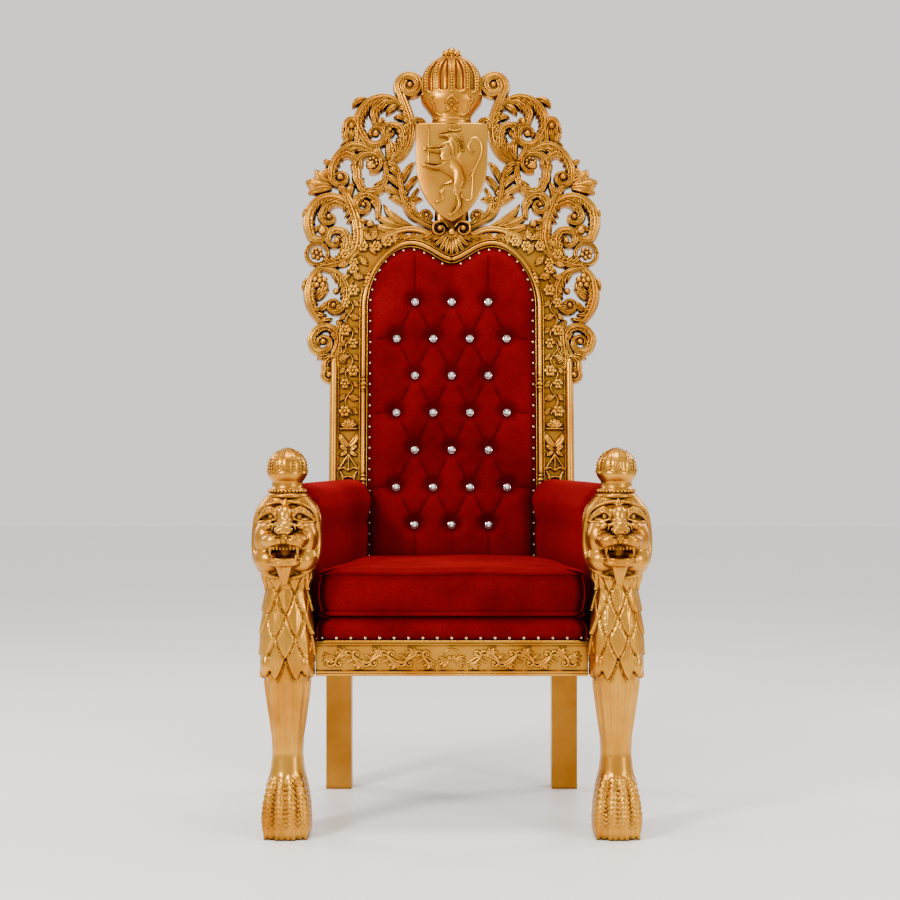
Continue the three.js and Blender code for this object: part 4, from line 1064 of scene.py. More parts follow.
# Rear panel: velvet lining stretched over a board, closing the back behind the padding. It is darker
# than the seat's velvet, with a flatter pile and less sheen.
lining = velvet("plain_velvet_lining", "#300001", "#520003", "#FF0414", 0.1)
PANEL_ROWS, PANEL_COLUMNS, PANEL_FOOT = 107, 81, 32
panel_grid = arch_columns(-1.2, PANEL_FOOT, PANEL_COLUMNS, PANEL_ROWS)
inward = edge_distance(panel_grid, -1.2, PANEL_FOOT)
taut = np.sqrt(1 - (1 - np.clip(inward / 30, 0, 1)) ** 2)
tension = 0.25 * np.sin(panel_grid[..., 0] * 0.09) * np.exp(-inward / 30)
panel_deep = 36 + 5.5 * taut + tension
panel_front = np.column_stack([panel_grid[..., 0].ravel(), panel_deep.ravel(), panel_grid[..., 1].ravel()])
panel_points, panel_faces = closed_shell(panel_front, PANEL_ROWS, PANEL_COLUMNS, 24.5)
panel = new_piece("lined_rear_panel", leaned(panel_points), [face[::-1] for face in panel_faces], lining)
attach(panel, "root")
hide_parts("rear_panel")


# Carved back: one gilded carving. Its board carries the half-round bead and the band of flowers on
# each stile, the moulding round the heart-shaped arch, and the pierced crest of scrolls and leaves.
def on_back(parts, level=0.0):
    """Strands drawn as (across, rise, up) laid on the back, their rear at a depth behind its face."""
    points, faces = gathered(parts)
    return leaned(points * (1, -1, 1) + (0, level, 0)), faces


def mirror_image(parts):
    """The parts as they are on the other side."""
    return [(points * (-1, 1, 1), np.asarray(faces)[:, ::-1]) for points, faces in parts]


def mirrored(parts):
    """The same parts and their mirror images."""
    return parts + mirror_image(parts)


# The board behind the carving, with its edges eased, cut out round the arch.
shoulder = [(0, 0), (0, 600), (-20, 648), (-32, 700), (-36, 760), (-40, 860), (-62, 900), (-66, 958),
            (-100, 986), (-150, 966), (-200, 956), (-250, 962)]
outer = [(303 + inset - 1.5, v) for inset, v in shoulder]
outer += [(-u, v) for u, v in outer[::-1]]
inner = [(ARCH_HALF + 0.6, 30), *map(tuple, heart_arch(0.6, 30))]
inner += [(-u, v) for u, v in inner[-2::-1]]
curve = bpy.data.curves.new("back_board", "CURVE")
curve.dimensions = "2D"
curve.fill_mode = "BOTH"
curve.extrude = 19 * MM
curve.bevel_depth = 1 * MM
curve.bevel_resolution = 1
for loop in (outer, inner):
    line = curve.splines.new("POLY")
    line.points.add(len(loop) - 1)
    for point, (u, v) in zip(line.points, loop):
        point.co = (u * MM, v * MM, 0, 1)
    line.use_cyclic_u = True
shape = bpy.data.objects.new("back_board", curve)
flat = bpy.data.meshes.new_from_object(shape)
co = np.array([vertex.co for vertex in flat.vertices]) / MM
board_points = leaned(np.column_stack([co[:, 0], 20 - co[:, 2], co[:, 1]]))
board_faces = [list(p.vertices) for p in flat.polygons]
bpy.data.objects.remove(shape)
board = new_piece("carved_back_board", board_points, board_faces, carved_gilding)
board.data.set_sharp_from_angle(angle=math.radians(40))
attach(board, "root")
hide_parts("carved_back")

# Mouldings: a bead up the outer edge of each stile, and the moulding round the arch with its
# fillets and clasps of beads.
mouldings = []
for u, half, rise, steps in ((292.5, 10.4, 14.4, 60), (281, 1.8, 8, 40)):
    mouldings.append(carved_strand([(u, 1), (u, 320), (u, 640)], [half], [rise], steps=steps))
for offset, half, rise in ((3.2, 2.6, 9.0), (12.6, 7.2, 12.0), (21.6, 2.4, 8.0)):
    line = np.vstack([np.column_stack([np.full(30, ARCH_HALF + offset), np.linspace(1, 755, 30)]),
                      heart_arch(offset, 60)])
    mouldings.append(carved_strand(line, [half], [rise], steps=150))
for v in (335, 575, 842):
    u = 219 if v < 800 else 211
    for drop, radius in ((-17, 5), (-8, 7.5), (2, 8.5), (12, 7), (20, 5)):
        mouldings.append(knob((u - (0.3 * drop if v > 800 else 0), 7.5, v + drop), (radius, 8, radius * 0.8)))
frame_moulding = new_piece("stile_and_arch_mouldings", *on_back(mirrored(mouldings)), carved_gilding)
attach(frame_moulding, "root")
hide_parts("carved_back")

# Band on each stile: a running stem with flowers, leaves and berries by turns.
band = []
band_middle = 255
stem = [(band_middle + (9 if i % 2 else -9), 500 + 34 * i) for i in range(11)]
band.append(carved_strand(stem, [3], [7], steps=150))


def flower(u, v, size=1.0):
    """Six round petals about a raised heart."""
    for petal in range(6):
        turn = petal * math.pi / 3
        band.append(knob((u + 8.5 * size * math.cos(turn), 5, v + 8.5 * size * math.sin(turn)),
                         (5.6 * size, 8, 5.6 * size), 2))
    band.append(knob((u, 8, v), (4.4 * size, 6.5, 4.4 * size), 3))


def sprig(u, v, aim, size=1.0):
    """Five leaves that spread from one root."""
    for spread in (-1.1, -0.55, 0, 0.55, 1.1):
        tip = (u + 21 * size * math.sin(aim + spread), v + 21 * size * math.cos(aim + spread))
        band.append(leaf((u, v), tip, 3 * spread, 5.2 * size, 10, ribs=2))


for i in range(12):
    v = 508 + 34 * i
    sway = 10 if i % 2 else -10
    if i % 3 == 0:
        flower(band_middle - sway, v, 1.15)
    elif i % 3 == 1:
        sprig(band_middle - sway, v - 8, -0.3 * sway / 10, 0.9)
    else:
        for berry in ((0, 0), (8, 2), (-8, 2), (4, 9), (-4, 9), (4, -7), (-4, -7)):
            band.append(knob((band_middle - sway + berry[0], 5, v + berry[1]), (5, 8, 5), 2))
    sprig(band_middle + 1.1 * sway, v - 4, 0.9 * math.copysign(1, sway), 0.72)
for u, v, aim in ((236, 842, -0.4), (228, 884, -0.9), (206, 916, -1.1), (178, 936, -1.3), (150, 946, -1.5),
                  (268, 872, 0.3), (252, 926, 0.2), (216, 944, -0.6), (186, 952, 1.2)):
    sprig(u, v, aim, 0.95)
for u, v in ((246, 868), (222, 926), (188, 926), (160, 938), (266, 906)):
    flower(u, v, 1.05)
# Foot of the band: a cup over a pair of leaves, a bow, and an arch over two dark hollows and a fan.
foot, middle = 486, band_middle
for turn in np.linspace(-1.2, 1.2, 5):
    tip = (middle + 24 * math.sin(turn), foot + 26 * math.cos(turn) - 20)
    band.append(leaf((middle, foot - 22), tip, 3 * turn, 8, 13, ribs=2))
band.append(carved_strand([(233, foot - 22), (277, foot - 22)], [3.4], [12], steps=10))
for side in (-1, 1):
    for root, tip, bow, half, rise in (((0, -66), (21, -32), -5, 11, 9), ((3, -76), (22, -62), 0, 8, 8),
                                       ((3, -78), (22, -90), 0, 7, 8)):
        root, tip = ((middle + side * u, foot + v) for u, v in (root, tip))
        band.append(leaf(root, tip, side * bow, half, rise, ribs=2))
    corner = (middle + side * 25, foot - 124)
    band.append(carved_strand([(middle, foot - 86), corner], [4, 3.4], [10, 9], steps=10))
    hollow = [corner, (middle + side * 12, foot - 119), (middle, foot - 126)]
    band.append(carved_strand(hollow, [3.4], [9], steps=12))
    for drop in (10, 19, 28):
        fan = [(middle + side * (25 - drop * 0.4), foot - 122 - drop * 0.5),
               (middle + side * 12, foot - 132 - drop), (middle, foot - 130 - drop)]
        band.append(carved_strand(fan, [3.6], [8], steps=12))
band.append(carved_strand([(middle, foot - 84), (middle, foot - 126)], [2.8], [9], steps=10))
band.append(knob((middle, 7, foot - 124), (4.6, 6, 4.6), 4))
stile_band = new_piece("flower_band_carving", *on_back(mirrored(band)), carved_gilding)
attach(stile_band, "root")
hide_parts("carved_back")


# Pierced crest: scrolls that coil round a ball, acanthus lobes, rings and flowers, carved through
# and flat behind. Each scroll is (stem, eye, turns, half widths), each lobe (root, tip, bow, half).
CREST_REAR = 19.0
CREST_RISE = 31.0
SCROLLS = [
    ([(163, 1140), (128, 1158), (106, 1195), (101, 1232), (106, 1270), (122, 1303), (137, 1334)],
     (106, 1346), 1.2, (6, 11, 13)),
    ([(118, 1286), (148, 1313), (182, 1317), (214, 1303), (236, 1272), (240, 1238), (226, 1208)],
     (192, 1218), -1.05, (5, 11, 6)),
    ([(242, 1186), (234, 1218), (238, 1246), (253, 1259), (267, 1248), (270, 1224), (264, 1201), (279, 1187)],
     None, 0, (5, 10, 4)),
    ([(172, 1138), (194, 1170), (225, 1190), (258, 1190), (288, 1166), (304, 1132), (306, 1105)],
     (281, 1106), -1.0, (5, 10, 6)),
    ([(166, 1146), (163, 1108), (176, 1076), (204, 1062), (230, 1076), (238, 1108)],
     (204, 1138), 0.9, (6, 10, 7)),
    ([(246, 1000), (262, 1040), (296, 1058), (332, 1051), (356, 1027), (364, 990), (356, 955)],
     (331, 966), -0.95, (7, 12, 6)),
    ([(262, 1032), (290, 1044), (316, 1034), (329, 1012)], (308, 1003), -0.8, (6, 9, 5)),
    ([(276, 1082), (254, 1040), (240, 1000), (231, 958), (236, 922), (257, 895), (290, 881), (330, 877)],
     None, 0, (6, 13, 9)),
    ([(312, 880), (280, 895), (262, 922), (260, 950), (274, 970), (298, 972)], (292, 946), -0.9, (6, 10, 5)),
    ([(334, 874), (302, 869), (276, 852), (260, 820), (262, 786), (279, 762)], (293, 778), 0.9, (6, 9, 6)),
    ([(324, 882), (350, 852), (360, 815), (354, 776), (336, 744), (310, 722)], None, 0, (7, 12, 6)),
    ([(296, 650), (283, 676), (284, 706), (306, 725), (334, 720), (352, 696), (346, 668)],
     (322, 682), -1.05, (7, 10, 6)),
    ([(280, 612), (283, 640), (300, 648), (316, 634), (317, 612)], (303, 600), -0.7, (7, 9, 6)),
    ([(186, 998), (184, 1040), (203, 1063), (230, 1061)], (222, 1034), -0.95, (6, 9, 6)),
    ([(40, 972), (72, 988), (104, 1006), (122, 1044), (128, 1090), (134, 1128), (150, 1146)],
     None, 0, (6, 7, 5)),
    ([(60, 980), (92, 1008), (103, 1036), (98, 1060), (84, 1078)], None, 0, (6, 8, 4)),
    ([(34, 980), (58, 984), (78, 998)], (63, 1006), 0.9, (5, 7, 5)),
    ([(108, 1218), (104, 1246), (88, 1260), (72, 1254)], None, 0, (5, 7, 4)),
    ([(158, 1142), (130, 1170), (117, 1205), (128, 1238), (152, 1246)], (156, 1226), -0.8, (5, 9, 5)),
    ([(140, 1306), (176, 1302), (200, 1278), (196, 1254)], (182, 1252), -0.7, (6, 10, 6)),
    ([(300, 1140), (285, 1164), (260, 1172), (240, 1156)], (243, 1140), 0.7, (6, 9, 6)),
    ([(168, 1188), (158, 1214), (160, 1240), (172, 1252)], None, 0, (4, 7, 4)),
    ([(240, 905), (222, 940), (222, 975), (236, 1002)], None, 0, (5, 8, 4)),
    ([(282, 740), (274, 720), (278, 690), (284, 660), (284, 630)], None, 0, (6, 9, 7)),
]
LOBES = [
    ((96, 978), (172, 1038), -12, 11), ((110, 978), (192, 1012), -9, 12), ((116, 974), (199, 985), -8, 12),
    ((120, 970), (192, 954), -10, 11), ((124, 966), (170, 932), -10, 10), ((92, 964), (130, 944), -7, 9),
    ((40, 982), (78, 946), -10, 10), ((36, 978), (54, 944), -6, 8),
    ((122, 1052), (184, 1084), 6, 10), ((124, 1074), (176, 1112), 8, 10), ((124, 1096), (166, 1134), 6, 9),
    ((112, 1030), (160, 1056), 6, 9), ((118, 1066), (80, 1112), -6, 9), ((124, 1092), (92, 1148), -6, 9),
    ((112, 1034), (72, 1050), -6, 8),
    ((166, 1146), (190, 1198), -8, 10), ((160, 1146), (164, 1214), 6, 11), ((164, 1150), (140, 1206), 6, 9),
    ((262, 1046), (292, 1090), 6, 10), ((256, 1050), (244, 1098), -6, 9), ((240, 1024), (210, 1066), -6, 8),
    ((300, 1094), (345, 1127), -6, 15), ((302, 1088), (369, 1097), -4, 17), ((302, 1082), (362, 1065), 6, 15),
    ((296, 1098), (318, 1136), -6, 10),
    ((246, 990), (202, 968), 8, 10), ((240, 1000), (206, 994), 6, 9),
    ((338, 790), (318, 848), 6, 12), ((344, 800), (306, 818), -4, 11), ((350, 790), (348, 846), -4, 9),
    ((338, 760), (306, 792), 4, 9), ((232, 930), (262, 966), -6, 9), ((236, 905), (264, 930), -6, 8),
    ((150, 1312), (186, 1284), 7, 9), ((132, 1296), (166, 1268), 6, 9), ((112, 1256), (148, 1262), 5, 9),
    ((258, 1196), (256, 1244), 4, 8), ((196, 1170), (226, 1206), -6, 8), ((232, 1186), (262, 1160), 6, 9),
    ((300, 700), (272, 742), 6, 9), ((300, 650), (336, 640), 6, 9), ((284, 640), (262, 676), 6, 8),
    ((284, 700), (262, 716), 4, 7), ((262, 850), (240, 878), -4, 8), ((262, 800), (244, 834), -4, 7),
    ((214, 1312), (252, 1288), 8, 9), ((266, 1246), (272, 1212), 5, 6), ((304, 1130), (326, 1150), 6, 8),
    ((352, 1030), (372, 1000), 6, 8), ((356, 850), (370, 812), 6, 7),
]
KNOBS = [
    (106, 1346, 9), (192, 1218, 10), (181, 1250, 9), (253, 1238, 9), (243, 1140, 7), (281, 1106, 10),
    (204, 1136, 13), (325, 968, 12), (308, 1003, 8), (288, 942, 9), (289, 812, 9), (295, 776, 8),
    (320, 684, 9), (304, 600, 9), (205, 985, 11), (222, 1034, 7), (156, 1228, 7), (63, 1006, 7),
]


def crest_scroll(stem, eye, turns, widths):
    """A scroll with grooved ribs and its eye coiled in, and the small leaves that it throws off inside."""
    line = stem
    if eye:
        line = spiral(stem, eye, turns, core=max(0.34, (widths[2] + 3) / math.dist(stem[-1], eye)))
    path = spline(line, int(length_of(line) / 3.6))
    tangent = np.gradient(path, axis=0)
    tangent /= np.linalg.norm(tangent, axis=1)[:, None] + 1e-9
    left = np.column_stack([-tangent[:, 1], tangent[:, 0]])
    bend = tangent[:-1, 0] * tangent[1:, 1] - tangent[:-1, 1] * tangent[1:, 0]
    curl = np.tanh(40 * np.convolve(np.append(bend, bend[-1]), np.ones(9) / 9, mode="same"))
    start, full, end = widths
    spread = np.array([start, 0.9 * full, full, full, (full + end) / 2, end])
    fuller = 0.34 * np.interp(np.linspace(0, 1, len(path)), np.linspace(0, 1, 6), spread)
    path = path + left * (curl * fuller)[:, None]
    heights = CREST_RISE * (0.62 + 0.38 * spread / max(widths))
    parts = [carved_strand(path, 1.34 * spread, heights, ribs=3, steps=int(length_of(line) / 4))]
    free = length_of(stem) / length_of(line)
    for at in np.arange(0.12, 0.92 * free, 19 / length_of(line)):
        i = int(at * len(path))
        if abs(curl[i]) < 0.4 or not (eye or end > 4):
            continue
        side = math.copysign(1, curl[i])
        aim = math.atan2(tangent[i, 1], tangent[i, 0]) + side * 0.8
        reach = 33 + 6 * math.sin(9 * at)
        root = path[i] - 3 * tangent[i]
        tip = root + reach * np.array([math.cos(aim), math.sin(aim)])
        parts.append(leaf(root, tip, -7 * side, 9, CREST_RISE * 0.95, ribs=2))
    return parts


crest = []
for stem, eye, turns, widths in SCROLLS:
    crest += crest_scroll(stem, eye, turns, widths)
for root, tip, bow, half in LOBES:
    crest.append(leaf(root, tip, bow, 1.2 * half, CREST_RISE * 0.9, ribs=3))
for u, v, radius in KNOBS:
    crest.append(knob((u, CREST_RISE * 0.62, v), (radius, CREST_RISE * 0.5, radius)))
for u, v, petals, reach, size in ((200, 1142, 8, 11, 5.5), (330, 838, 5, 12, 8.5), (338, 908, 6, 11, 7)):
    for petal in range(petals):
        turn = 2 * math.pi * petal / petals + 0.3
        place = (u + reach * math.cos(turn), CREST_RISE * 0.7, v + reach * math.sin(turn))
        crest.append(knob(place, (size, CREST_RISE * 0.36, size)))
    crest.append(knob((u, CREST_RISE * 0.9, v), (size * 0.8, 8, size * 0.8)))
ring = [(338 + 27 * math.cos(a), 910 + 27 * math.sin(a)) for a in np.linspace(0, 2 * math.pi, 24)]
crest.append(carved_strand(ring, [7, 7], [24, 24], ribs=2, steps=48))
for name, parts in (("right", crest), ("left", mirror_image(crest))):
    scrollwork = new_piece(f"pierced_crest_{name}", *on_back(parts, CREST_REAR), carved_gilding)
    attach(scrollwork, "root")
    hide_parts("carved_back")

# Shell in the dip of the heart, with a pair of small volutes, and the cornice that carries the crest.
shell = []
for spread in (-1.25, -0.95, -0.62, -0.3, 0, 0.3, 0.62, 0.95, 1.25):
    tip = (56 * math.sin(spread), 958 - 62 * math.cos(spread))
    shell.append(leaf((0, 964), tip, 2 * spread, 9.5, 25, ribs=2, base=-12))
for side in (-1, 1):
    stem = [(side * 8, 975), (side * 22, 990), (side * 42, 984)]
    coil = spiral(stem, (side * 29, 970), -side, core=0.3)
    shell.append(carved_strand(coil, [4, 7, 6, 5], [20, 26, 26, 22], base=-10))
    shell.append(knob((side * 29, 18, 970), (7, 10, 7)))
    cornice = [(side * u, v) for u, v in ((40, 950), (75, 968), (110, 972), (150, 962), (190, 946))]
    shell.append(carved_strand(cornice, [9, 10, 9], [12, 13, 12], ribs=2, base=-6))
shell.append(knob((0, 24, 958), (9, 9, 9)))
backing = [(0, 966), (0, 1000), (0, 1040)]
shell.append(carved_strand(backing, [34, 44, 40], [10, 8, 8], base=-CREST_REAR))
shell_carving = new_piece("shell_and_cornice", *on_back(shell), carved_gilding)
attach(shell_carving, "root")
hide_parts("carved_back")


# Crown over the shield, carved in half depth as part of the crest: a plain bowl with a small arch
# and a scroll at each side, a scalloped rim, pearled ribs with hollows between, and a leafy finial.
CROWN_DEEP = 0.6
CROWN_REAR = -14.4
crown_rows = [
    (1238, 46), (1246, 50), (1254, 50), (1262, 49), (1270, 54), (1284, 65), (1297, 75), (1308, 78.5),
    (1318, 78), (1328, 77), (1344, 77.5), (1360, 77), (1376, 73), (1390, 65), (1402, 54), (1412, 40),
    (1420, 27), (1426, 17), (1430, 11),
]
heights = np.linspace(1238, 1430, 72)
halves = smoothed(*(np.array(column, float) for column in zip(*crown_rows)), heights, 3)
CROWN_TURNS = np.linspace(-math.pi / 2, math.pi / 2, 121)
RIB_TURNS = np.radians([-82, -58, -31, 0, 31, 58, 82])
rib_gap = np.abs(CROWN_TURNS[:, None] - RIB_TURNS).min(axis=1)
rings = []
for height, half in zip(heights, halves):
    scallop = 1319 + 5 * np.cos(rib_gap * 6.6)
    hollow = np.clip((height - scallop) / 3, 0, 1) * np.clip((1424 - height) / 14, 0, 1)
    wide = 8.5 / max(half, 12)
    between = np.clip((rib_gap - wide) * half / 4, 0, 1)
    sink = 0.30 * hollow * between * (0.72 + 0.28 * np.sin(np.clip((rib_gap - wide) * 7, 0, math.pi / 2)))
    reach = half * (1 - sink)
    front = np.column_stack([half * np.sin(CROWN_TURNS) * (1 - 0.25 * sink),
                             reach * CROWN_DEEP * np.cos(CROWN_TURNS), np.full_like(reach, height)])
    rear = np.array([(half * share, CROWN_REAR, height) for share in (1, 0.5, -1)])
    rings.append(np.vstack([front, rear]))
crown = [(np.array(rings).reshape(-1, 3), rings_to_faces(len(rings), len(rings[0]))[:, ::-1])]


def on_bowl(part):
    """A strand or a knob moved forward on to the crown's round face."""
    points, faces = part
    half = np.interp(points[:, 2], heights, halves)
    forward = CROWN_DEEP * np.sqrt(np.clip(half ** 2 - points[:, 0] ** 2, 0, None))
    return points + np.column_stack([0 * forward, forward, 0 * forward]), faces


for turn in RIB_TURNS[1:-1]:
    line = [(math.sin(turn) * np.interp(v, heights, halves), v) for v in np.arange(1320, 1426, 8)]
    for shift in (-1, 1):
        edge_line = [(u + shift * 6.2 * math.cos(turn) * min(1, (1440 - v) / 60), v) for u, v in line]
        crown.append(on_bowl(carved_strand(edge_line, [1.9, 1.7, 1.2], [2.6, 2.4, 2], base=-1.2)))
    for height in np.arange(1326, 1420, 7.2):
        half = np.interp(height, heights, halves)
        pearl = (half * math.sin(turn), half * CROWN_DEEP * math.cos(turn) + 0.6, height)
        crown.append(knob(pearl, (3, 3, 3), 3))
for bead in np.linspace(-math.pi / 2, math.pi / 2, 9):
    crown.append(knob((78 * math.sin(bead), 78 * CROWN_DEEP * math.cos(bead), 1316), (6, 3, 2.4), 3))
arch = [(-17, 1286), (-10, 1297), (0, 1303), (10, 1297), (17, 1286)]
arch_widths, arch_rises = [3.2, 3.8, 4.4, 3.8, 3.2], [3.6, 4.4, 5, 4.4, 3.6]
crown.append(on_bowl(carved_strand(arch, arch_widths, arch_rises, ribs=2, base=-1)))
crown.append(on_bowl(carved_strand([(-9, 1284), (0, 1293), (9, 1284)], [2.4], [4.4], base=-1)))
crown.append(on_bowl(knob((0, 1.5, 1282), (4.4, 3.4, 4.4), 4)))
for side in (-1, 1):
    crown.append(on_bowl(leaf((side * 2, 1276), (side * 14, 1266), side * 2, 4.4, 4.4, ribs=2, base=-1)))
    crown.append(on_bowl(leaf((side * 2, 1280), (side * 16, 1277), side * -2, 3.4, 3.8, ribs=1, base=-1)))
    hook = [(side * 50, 1302), (side * 54, 1294), (side * 46, 1286), (side * 44, 1272), (side * 34, 1262),
            (side * 24, 1258)]
    crown.append(on_bowl(carved_strand(hook, [2.8, 3.6, 3.4, 2.8], [4, 4.8, 4.4, 3.6], base=-1)))
    crown.append(on_bowl(knob((side * 47, 1.5, 1306), (4.2, 3.2, 4.2), 4)))
    crown.append(on_bowl(knob((side * 40, 1.5, 1252), (4.6, 3.2, 4.6), 4)))
    crown.append(leaf((side * 62, 1238), (side * 92, 1252), side * 5, 7, 22, ribs=2, base=-16))
    crown.append(leaf((side * 66, 1238), (side * 80, 1262), side * 3, 6.5, 24, ribs=2, base=-16))
foot_ring = [(u, 1251) for u in np.linspace(-50, 50, 12)]
crown.append(on_bowl(carved_strand(foot_ring, [2.6], [2.8], base=-1)))
for u, v, wide, tall in ((-13, 1427, 11, 10), (13, 1427, 11, 10), (0, 1431, 10.5, 12.5), (0, 1418, 13, 9)):
    crown.append(knob((u, 8, v), (wide, 10, tall), 5))
for spread in (-0.8, -0.3, 0.3, 0.8):
    ridge = [(0, 1414), (22 * math.sin(spread), 1414 + 22 * math.cos(spread))]
    crown.append(carved_strand(ridge, [1.6, 2.4, 1.4], [6, 9, 3], base=11))
crown_carving = new_piece("crest_crown", *on_back(crown), carved_gilding)
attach(crown_carving, "root")
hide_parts("carved_back")


# Shield: a heater of gilded wood fixed on the crest, with an eased edge and a crowned rampant lion
# with a sword, its body raised a little and its outline cut as a fine ridge.
SHIELD_FACE = 27.0
right = np.vstack([bezier((0, 985), (55, 1010), (90, 1070), (90, 1140), 30),
                   [(91, 1190), (91.5, 1238), (70, 1240.5), (52, 1241)]])
edge = np.vstack([right, right[::-1] * (-1, 1)])[:-2]  # an even count, as the caps need
centre = np.array([0, 1130])
rings = []
for inset, rise in ((40, 15.2), (1.5, 15.2), (0.2, 16.5), (0.2, SHIELD_FACE - 3), (1.2, SHIELD_FACE - 0.8),
                    (3, SHIELD_FACE - 0.2), (40, SHIELD_FACE), (89, SHIELD_FACE)):
    flat = centre + (edge - centre) * (1 - inset / 92)
    rings.append(np.column_stack([flat[:, 0], np.full(len(flat), rise), flat[:, 1]]))
shield = [(np.vstack(rings), rings_to_faces(len(rings), len(rings[0])))]
shield.append(carved_strand([(0, 1050), (0, 1130), (0, 1210)], [22], [14.9], steps=12, base=0.4))
BODY = [  # the lion's masses: line, half widths, rise
    ([(-2, 1212), (8, 1192), (6, 1164), (0, 1142)], (9, 17, 18, 12), 5.4),
    ([(-31, 1207), (-18, 1208), (-2, 1204)], (3.4, 5.5, 9), 5.6),
    ([(-33, 1176), (-22, 1184), (-4, 1186)], (3, 4.6, 9), 5.2),
    ([(-2, 1180), (-14, 1156), (-8, 1140)], (14, 18, 14), 5.8),
    ([(0, 1146), (18, 1122), (20, 1098), (15, 1080), (8, 1072)], (16, 17, 14, 15, 12), 5.6),
    ([(-10, 1168), (-36, 1168), (-62, 1171)], (9, 7.5, 6), 5.2),
    ([(-4, 1138), (-38, 1124), (-66, 1131)], (11, 8, 6), 5.2),
    ([(4, 1080), (-18, 1074), (-25, 1062), (-24, 1046), (-32, 1036)], (13, 9, 6, 6, 5), 5.4),
    ([(14, 1078), (14, 1056), (20, 1034), (14, 1018), (2, 1004)], (13, 10, 7, 5.5, 4), 5.4),
    ([(24, 1066), (28, 1046), (40, 1038), (50, 1047), (53, 1080), (54, 1110), (66, 1138), (76, 1166),
      (74, 1188), (60, 1200), (47, 1193), (43, 1177), (51, 1163)], (3.4, 3.4, 3.4, 4, 4, 4.6, 5), 4.8),
    ([(-58, 1134), (-58, 1180), (-57, 1235)], (2.8, 3.6, 0.8), 4.4),
    ([(-70, 1174), (-48, 1178)], (2.2, 2.2), 4.6),
]
OUTLINE = [  # fine ridges: line, half width
    ([(8, 1144), (24, 1126), (33, 1100), (30, 1078), (19, 1067)], 1.7),
    ([(-30, 1119), (-8, 1106), (4, 1095), (-1, 1083), (-20, 1079), (-29, 1067), (-27, 1053),
      (-27, 1037)], 1.6),
    ([(-64, 1176), (-38, 1175), (-22, 1178)], 1.4), ([(-64, 1166), (-40, 1162), (-26, 1158)], 1.4),
    ([(-67, 1137), (-40, 1132), (-24, 1137)], 1.4), ([(-66, 1125), (-40, 1117), (-28, 1119)], 1.4),
    ([(-31, 1211), (-16, 1214), (-4, 1212)], 1.4), ([(-32, 1203), (-20, 1201), (-9, 1196)], 1.4),
    ([(-34, 1172), (-28, 1163), (-30, 1150), (-20, 1141), (-6, 1144)], 1.5),
    ([(24, 1209), (28, 1190), (31, 1166), (22, 1168)], 1.6), ([(4, 1202), (15, 1186), (18, 1160)], 1.5),
    ([(10, 1206), (21, 1190), (24, 1172)], 1.4), ([(-4, 1198), (6, 1180), (8, 1154)], 1.4),
    ([(-10, 1186), (-2, 1166), (0, 1146)], 1.4),
    ([(5, 1072), (8, 1056), (14, 1036), (8, 1022), (0, 1012)], 1.4),
    ([(24, 1064), (22, 1046), (27, 1030), (24, 1018)], 1.4),
]


def relief(line, widths, heights):
    """A strand let 2 mm into the shield's face."""
    shield.append(carved_strand(line, widths, heights, base=SHIELD_FACE - 2))


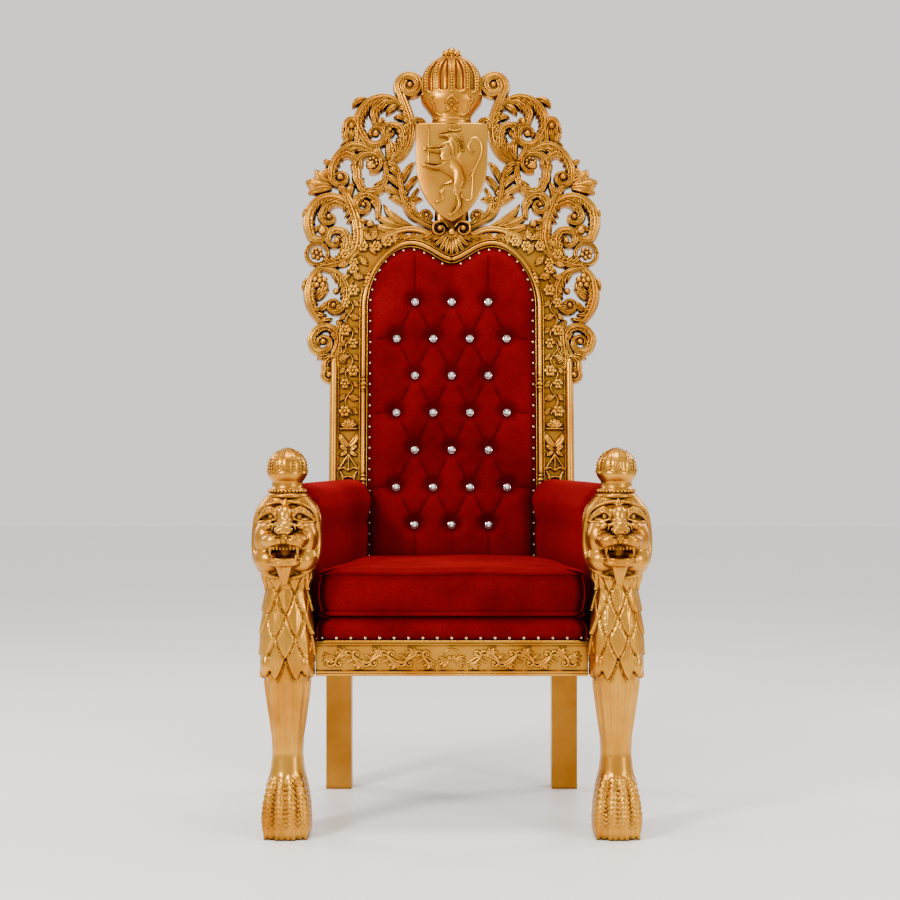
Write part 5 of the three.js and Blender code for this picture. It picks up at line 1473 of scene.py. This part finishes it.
for line, widths, rise in BODY:
    relief(line, widths, [rise * 0.8, rise, rise * 0.85])
for line, width in OUTLINE:
    relief(line, [width], [6.2, 8.2, 6.2])
for x, v, aim in ((-66, 1170, 2.8), (-68, 1130, 3.3), (-34, 1036, 3.5), (0, 1003, 3.6), (22, 1012, -1.2)):
    for claw in (-0.6, 0, 0.6):
        tip = (x + 9 * math.cos(aim + claw), v + 9 * math.sin(aim + claw))
        relief([(x, v), tip], [2.8, 1.2], [6, 3.6])
for spread in (-0.9, -0.3, 0.3, 0.9):
    tip = (7 + 19 * math.sin(spread), 1221 + 13 * math.cos(spread * 0.6))
    relief([(7 + 13 * math.sin(spread), 1220), tip], [3, 1.4], [6.6, 5])
relief([(-9, 1221), (7, 1218), (23, 1222)], [2.6], [6.8])
for line in ([(51, 1106), (43, 1088)], [(47, 1172), (60, 1164)],
             [(46, 1166), (55, 1156)], [(52, 1118), (44, 1104)]):
    relief(line, [2.6, 1.2], [5.4, 4])
for u, v in ((-21, 1154), (-11, 1205)):
    shield.append(knob((u, SHIELD_FACE + 4.2, v), (3, 2, 3), 3))
shield_carving = new_piece("rampant_lion_shield", *on_back(shield), carved_gilding)
shield_carving.data.set_sharp_from_angle(angle=math.radians(50))
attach(shield_carving, "root")
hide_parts("shield")


# Nailheads: domed brass, driven one by one along the velvet's edges on the seat's front, the foot of
# the arms' outer sides and round the back padding. Small bright points, some duller with age.
brass, tree = new_material("domed_brass_nailhead")
place = add_node(tree, "ShaderNodeTexCoord").outputs["Object"]
age = noise(tree, place, 60.0, 3.0)
tone = colour_mix(tree, age, "#B08A45", "#F0D79A")
gloss = ranged(tree, age, 0.0, 1.0, 0.2, 0.42)
principled(tree, {"Base Color": tone, "Roughness": gloss}, {"Metallic": 1.0})

seat_nails = gathered([
    knob((x, 1.4, deck_low[2] + 4.4), (3.4, 2.2, 3.4), 3) for x in np.linspace(-281, 281, 19)
])
seat_row = new_piece("seat_front_nailheads", chair(seat_nails[0]), seat_nails[1], brass)
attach(seat_row, "root")

arm_nails = gathered([
    knob((side * (400.4 - SEAT_TAPER * (y - ARM_FRONT)), y, 426), (2.2, 3.4, 3.4), 3)
    for side in (-1, 1) for y in np.arange(62, 490, 31)
])
arm_row = new_piece("arm_side_nailheads", chair(arm_nails[0]), arm_nails[1], brass)
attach(arm_row, "root")

straight = np.column_stack([np.full(60, ARCH_HALF - 4.6), np.linspace(36, 765, 60)])
edge_line = np.vstack([straight, heart_arch(-4.6, 90)])
run = np.concatenate([[0], np.cumsum(np.linalg.norm(np.diff(edge_line, axis=0), axis=1))])
at = np.arange(8, run[-1] - 4, 26.6)
back_nails = [knob((u, 7.2, v), (2.9, 2.2, 2.9), 3)
              for u, v in zip(np.interp(at, run, edge_line[:, 0]), np.interp(at, run, edge_line[:, 1]))]
back_row = new_piece("back_nailheads", *on_back(mirrored(back_nails)), brass)
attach(back_row, "root")
